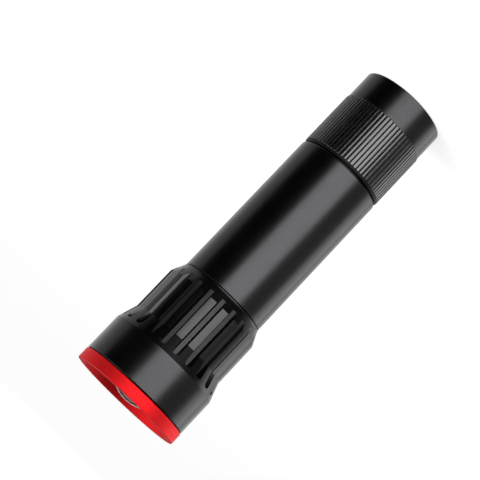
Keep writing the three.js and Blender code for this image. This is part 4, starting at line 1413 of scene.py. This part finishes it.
tail_cap()
barrel_tube()
head_shell()
bezel_ring()
domed_lens()
ring_piece("lens_retainer", RETAINER_WIDTH, SOFT_EDGE, BLACK_ABS)
tail_button()
o_ring("tail_o_ring", TAIL_RING)
o_ring("neck_o_ring", NECK_RING)
o_ring("lens_o_ring", LENS_RING)
led_pill()
led_board()
led_emitter()
led_screw("led_screw_1")
led_screw("led_screw_2")
led_wire("led_wire_red", RED_SLEEVE)
led_wire("led_wire_black", BLACK_ABS)
driver_board()
driver_inductor()
driver_chip()
switch_plunger()
switch_housing()
switch_board()
switch_retainer()
carrier_frame()
for node, forward in (("aaa_cell_1", True), ("aaa_cell_2", False), ("aaa_cell_3", True)):
    cell(node, forward)
    rear_width = CELL_SPRING_WIDE if forward else CELL_SPRING_NARROW
    front_width = CELL_SPRING_NARROW if forward else CELL_SPRING_WIDE
    spring_node = node.replace("aaa_cell", "cell_spring")
    spring(spring_node, rear_width, front_width, turns=2, wire=0.4, at=middle_of(node))
spring("tail_spring", rear_width=11, front_width=6.4, turns=4, wire=0.9)
spring("driver_spring", rear_width=4.4, front_width=8, turns=3, wire=0.7)
return_spring = spring("switch_return_spring", rear_width=4.6, front_width=4.6, turns=2.5, wire=0.35)
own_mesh(return_spring)


# Camera

AIM = Vector((0, 0, AXIS_POINT_HEIGHT * MM))


def camera():
    """The picture's camera: far off, a little above the bezel's face, rolled with the beam down and left."""
    rise = radians(CAMERA_RISE)
    back = Vector((0, -cos(rise), sin(rise)))
    lens = bpy.data.cameras.new("photo_camera")
    lens.sensor_width = SENSOR_WIDTH
    lens.lens = SENSOR_WIDTH * FOCAL_PIXELS / PICTURE_SIZE
    view = bpy.data.objects.new("photo_camera", lens)
    bpy.context.scene.collection.objects.link(view)
    upright = back.to_track_quat("Z", "Y")
    roll = Euler((0, 0, radians(90 - BEAM_ANGLE))).to_quaternion()
    x = AXIS_POINT_PIXEL[0] - PICTURE_SIZE / 2
    y = PICTURE_SIZE / 2 - AXIS_POINT_PIXEL[1]
    aside = Vector((0, 0, -1)).rotation_difference(Vector((x, y, -FOCAL_PIXELS)))
    view.rotation_mode = "QUATERNION"
    view.rotation_quaternion = upright @ roll @ aside.inverted()
    view.location = AIM + back * CAMERA_DISTANCE * MM
    bpy.context.scene.camera = view


# Studio

def towards(azimuth, elevation):
    """Direction from the object; azimuth is counted in degrees from the camera's side towards -X."""
    turn, rise = radians(azimuth), radians(elevation)
    return Vector((-sin(turn) * cos(rise), -cos(turn) * cos(rise), sin(rise)))


def by_sight(tree, unseen, seen):
    """A strength for what the camera, a reflection or the lens sees, and another for light on the object."""
    path = add(tree, "ShaderNodeLightPath").outputs
    sight = path["Is Camera Ray"]
    for ray in ("Is Glossy Ray", "Is Transmission Ray"):
        sight = add(tree, "ShaderNodeMath", {0: sight, 1: path[ray]}, operation="MAXIMUM").outputs["Value"]
    inputs = {"Value": sight, "To Min": unseen, "To Max": seen}
    return add(tree, "ShaderNodeMapRange", inputs).outputs["Result"]


def studio_world():
    """White all round to the eye, dimmer as light on the object."""
    world = bpy.data.worlds.new("studio")
    bpy.context.scene.world = world
    world.use_nodes = True
    tree = world.node_tree
    tree.nodes.clear()
    strength = by_sight(tree, AMBIENT, BACKGROUND_WHITE)
    light = add(tree, "ShaderNodeBackground", {"Color": WHITE, "Strength": strength})
    add(tree, "ShaderNodeOutputWorld", {"Surface": light.outputs["Background"]})


def floor():
    """White studio paper, lifted to white for the eye, that keeps the object's shadow."""
    # Fibres clump in flecks of about 2 mm
    fibre = (2.0,)
    paper = surface(
        "studio_paper",
        colour=(fibre, "#f2f2f1", "#f5f5f4"),
        Roughness=0.9,
        Emission_Color=WHITE,
    )
    tree = paper.node_tree
    shader = tree.nodes["Principled BSDF"]
    tree.links.new(by_sight(tree, 0, FLOOR_LIFT), shader.inputs["Emission Strength"])
    bm = bmesh.new()
    bmesh.ops.create_circle(bm, cap_ends=True, segments=FLOOR_SIDES, radius=FLOOR_RADIUS)
    bmesh.ops.translate(bm, verts=bm.verts, vec=(0, 0, -FLOOR_DROP))
    ground = shown("studio_floor", bm)
    ground.data.materials.append(paper)
    # Lamps and the front drape reach below the floor, which neither stops their light nor hides them
    ground.visible_glossy = False
    ground.visible_shadow = False


def drape(name, first, second, left, right, low, high):
    """A cloth between four angles, seen only in reflections, so that metal and lens keep dark parts."""
    # Folds about 60 mm wide
    folds = (60.0,)
    cloth = surface(name + "_cloth", colour=(folds, first, second), Roughness=1.0, Specular_IOR_Level=0.0)
    rows = []
    for k in range(DRAPE_ROWS + 1):
        elevation = low + (high - low) * k / DRAPE_ROWS
        azimuths = [left + (right - left) * i / DRAPE_COLUMNS for i in range(DRAPE_COLUMNS + 1)]
        rows.append([AIM + towards(azimuth, elevation) * DRAPE_DISTANCE for azimuth in azimuths])
    bm = bmesh.new()
    net(bm, rows)
    hung = shown(name, bm)
    hung.data.materials.append(cloth)
    for ray in ("camera", "diffuse", "transmission", "volume_scatter", "shadow"):
        setattr(hung, "visible_" + ray, False)


def softbox(name, azimuth, elevation, distance, size, power):
    """A lamp with a wide face that is turned to the object."""
    out = towards(azimuth, elevation)
    light = bpy.data.lights.new(name, "AREA")
    light.shape = "RECTANGLE"
    light.size, light.size_y = size
    light.energy = power
    box = bpy.data.objects.new(name, light)
    bpy.context.scene.collection.objects.link(box)
    box.location = AIM + out * distance
    box.rotation_mode = "QUATERNION"
    box.rotation_quaternion = out.to_track_quat("Z", "Y")
    box.visible_camera = False


camera()
studio_world()
floor()
drape("front_drape", "#020202", "#050505", left=-92, right=92, low=-65, high=74)
drape("back_drape", "#828282", "#8a8a8a", left=145, right=215, low=14, high=40)
softbox("key_softbox", azimuth=11.5, elevation=-11, distance=0.62, size=(0.68, 0.4), power=5.5)
softbox("side_softbox", azimuth=66, elevation=-11, distance=0.7, size=(0.6, 0.45), power=0.5)
softbox("rim_softbox", azimuth=111, elevation=-8, distance=0.8, size=(0.45, 0.6), power=1.9)
softbox("top_softbox", azimuth=-62, elevation=45, distance=0.7, size=(0.75, 0.75), power=3.2)
bpy.context.scene.view_settings.view_transform = "Standard"
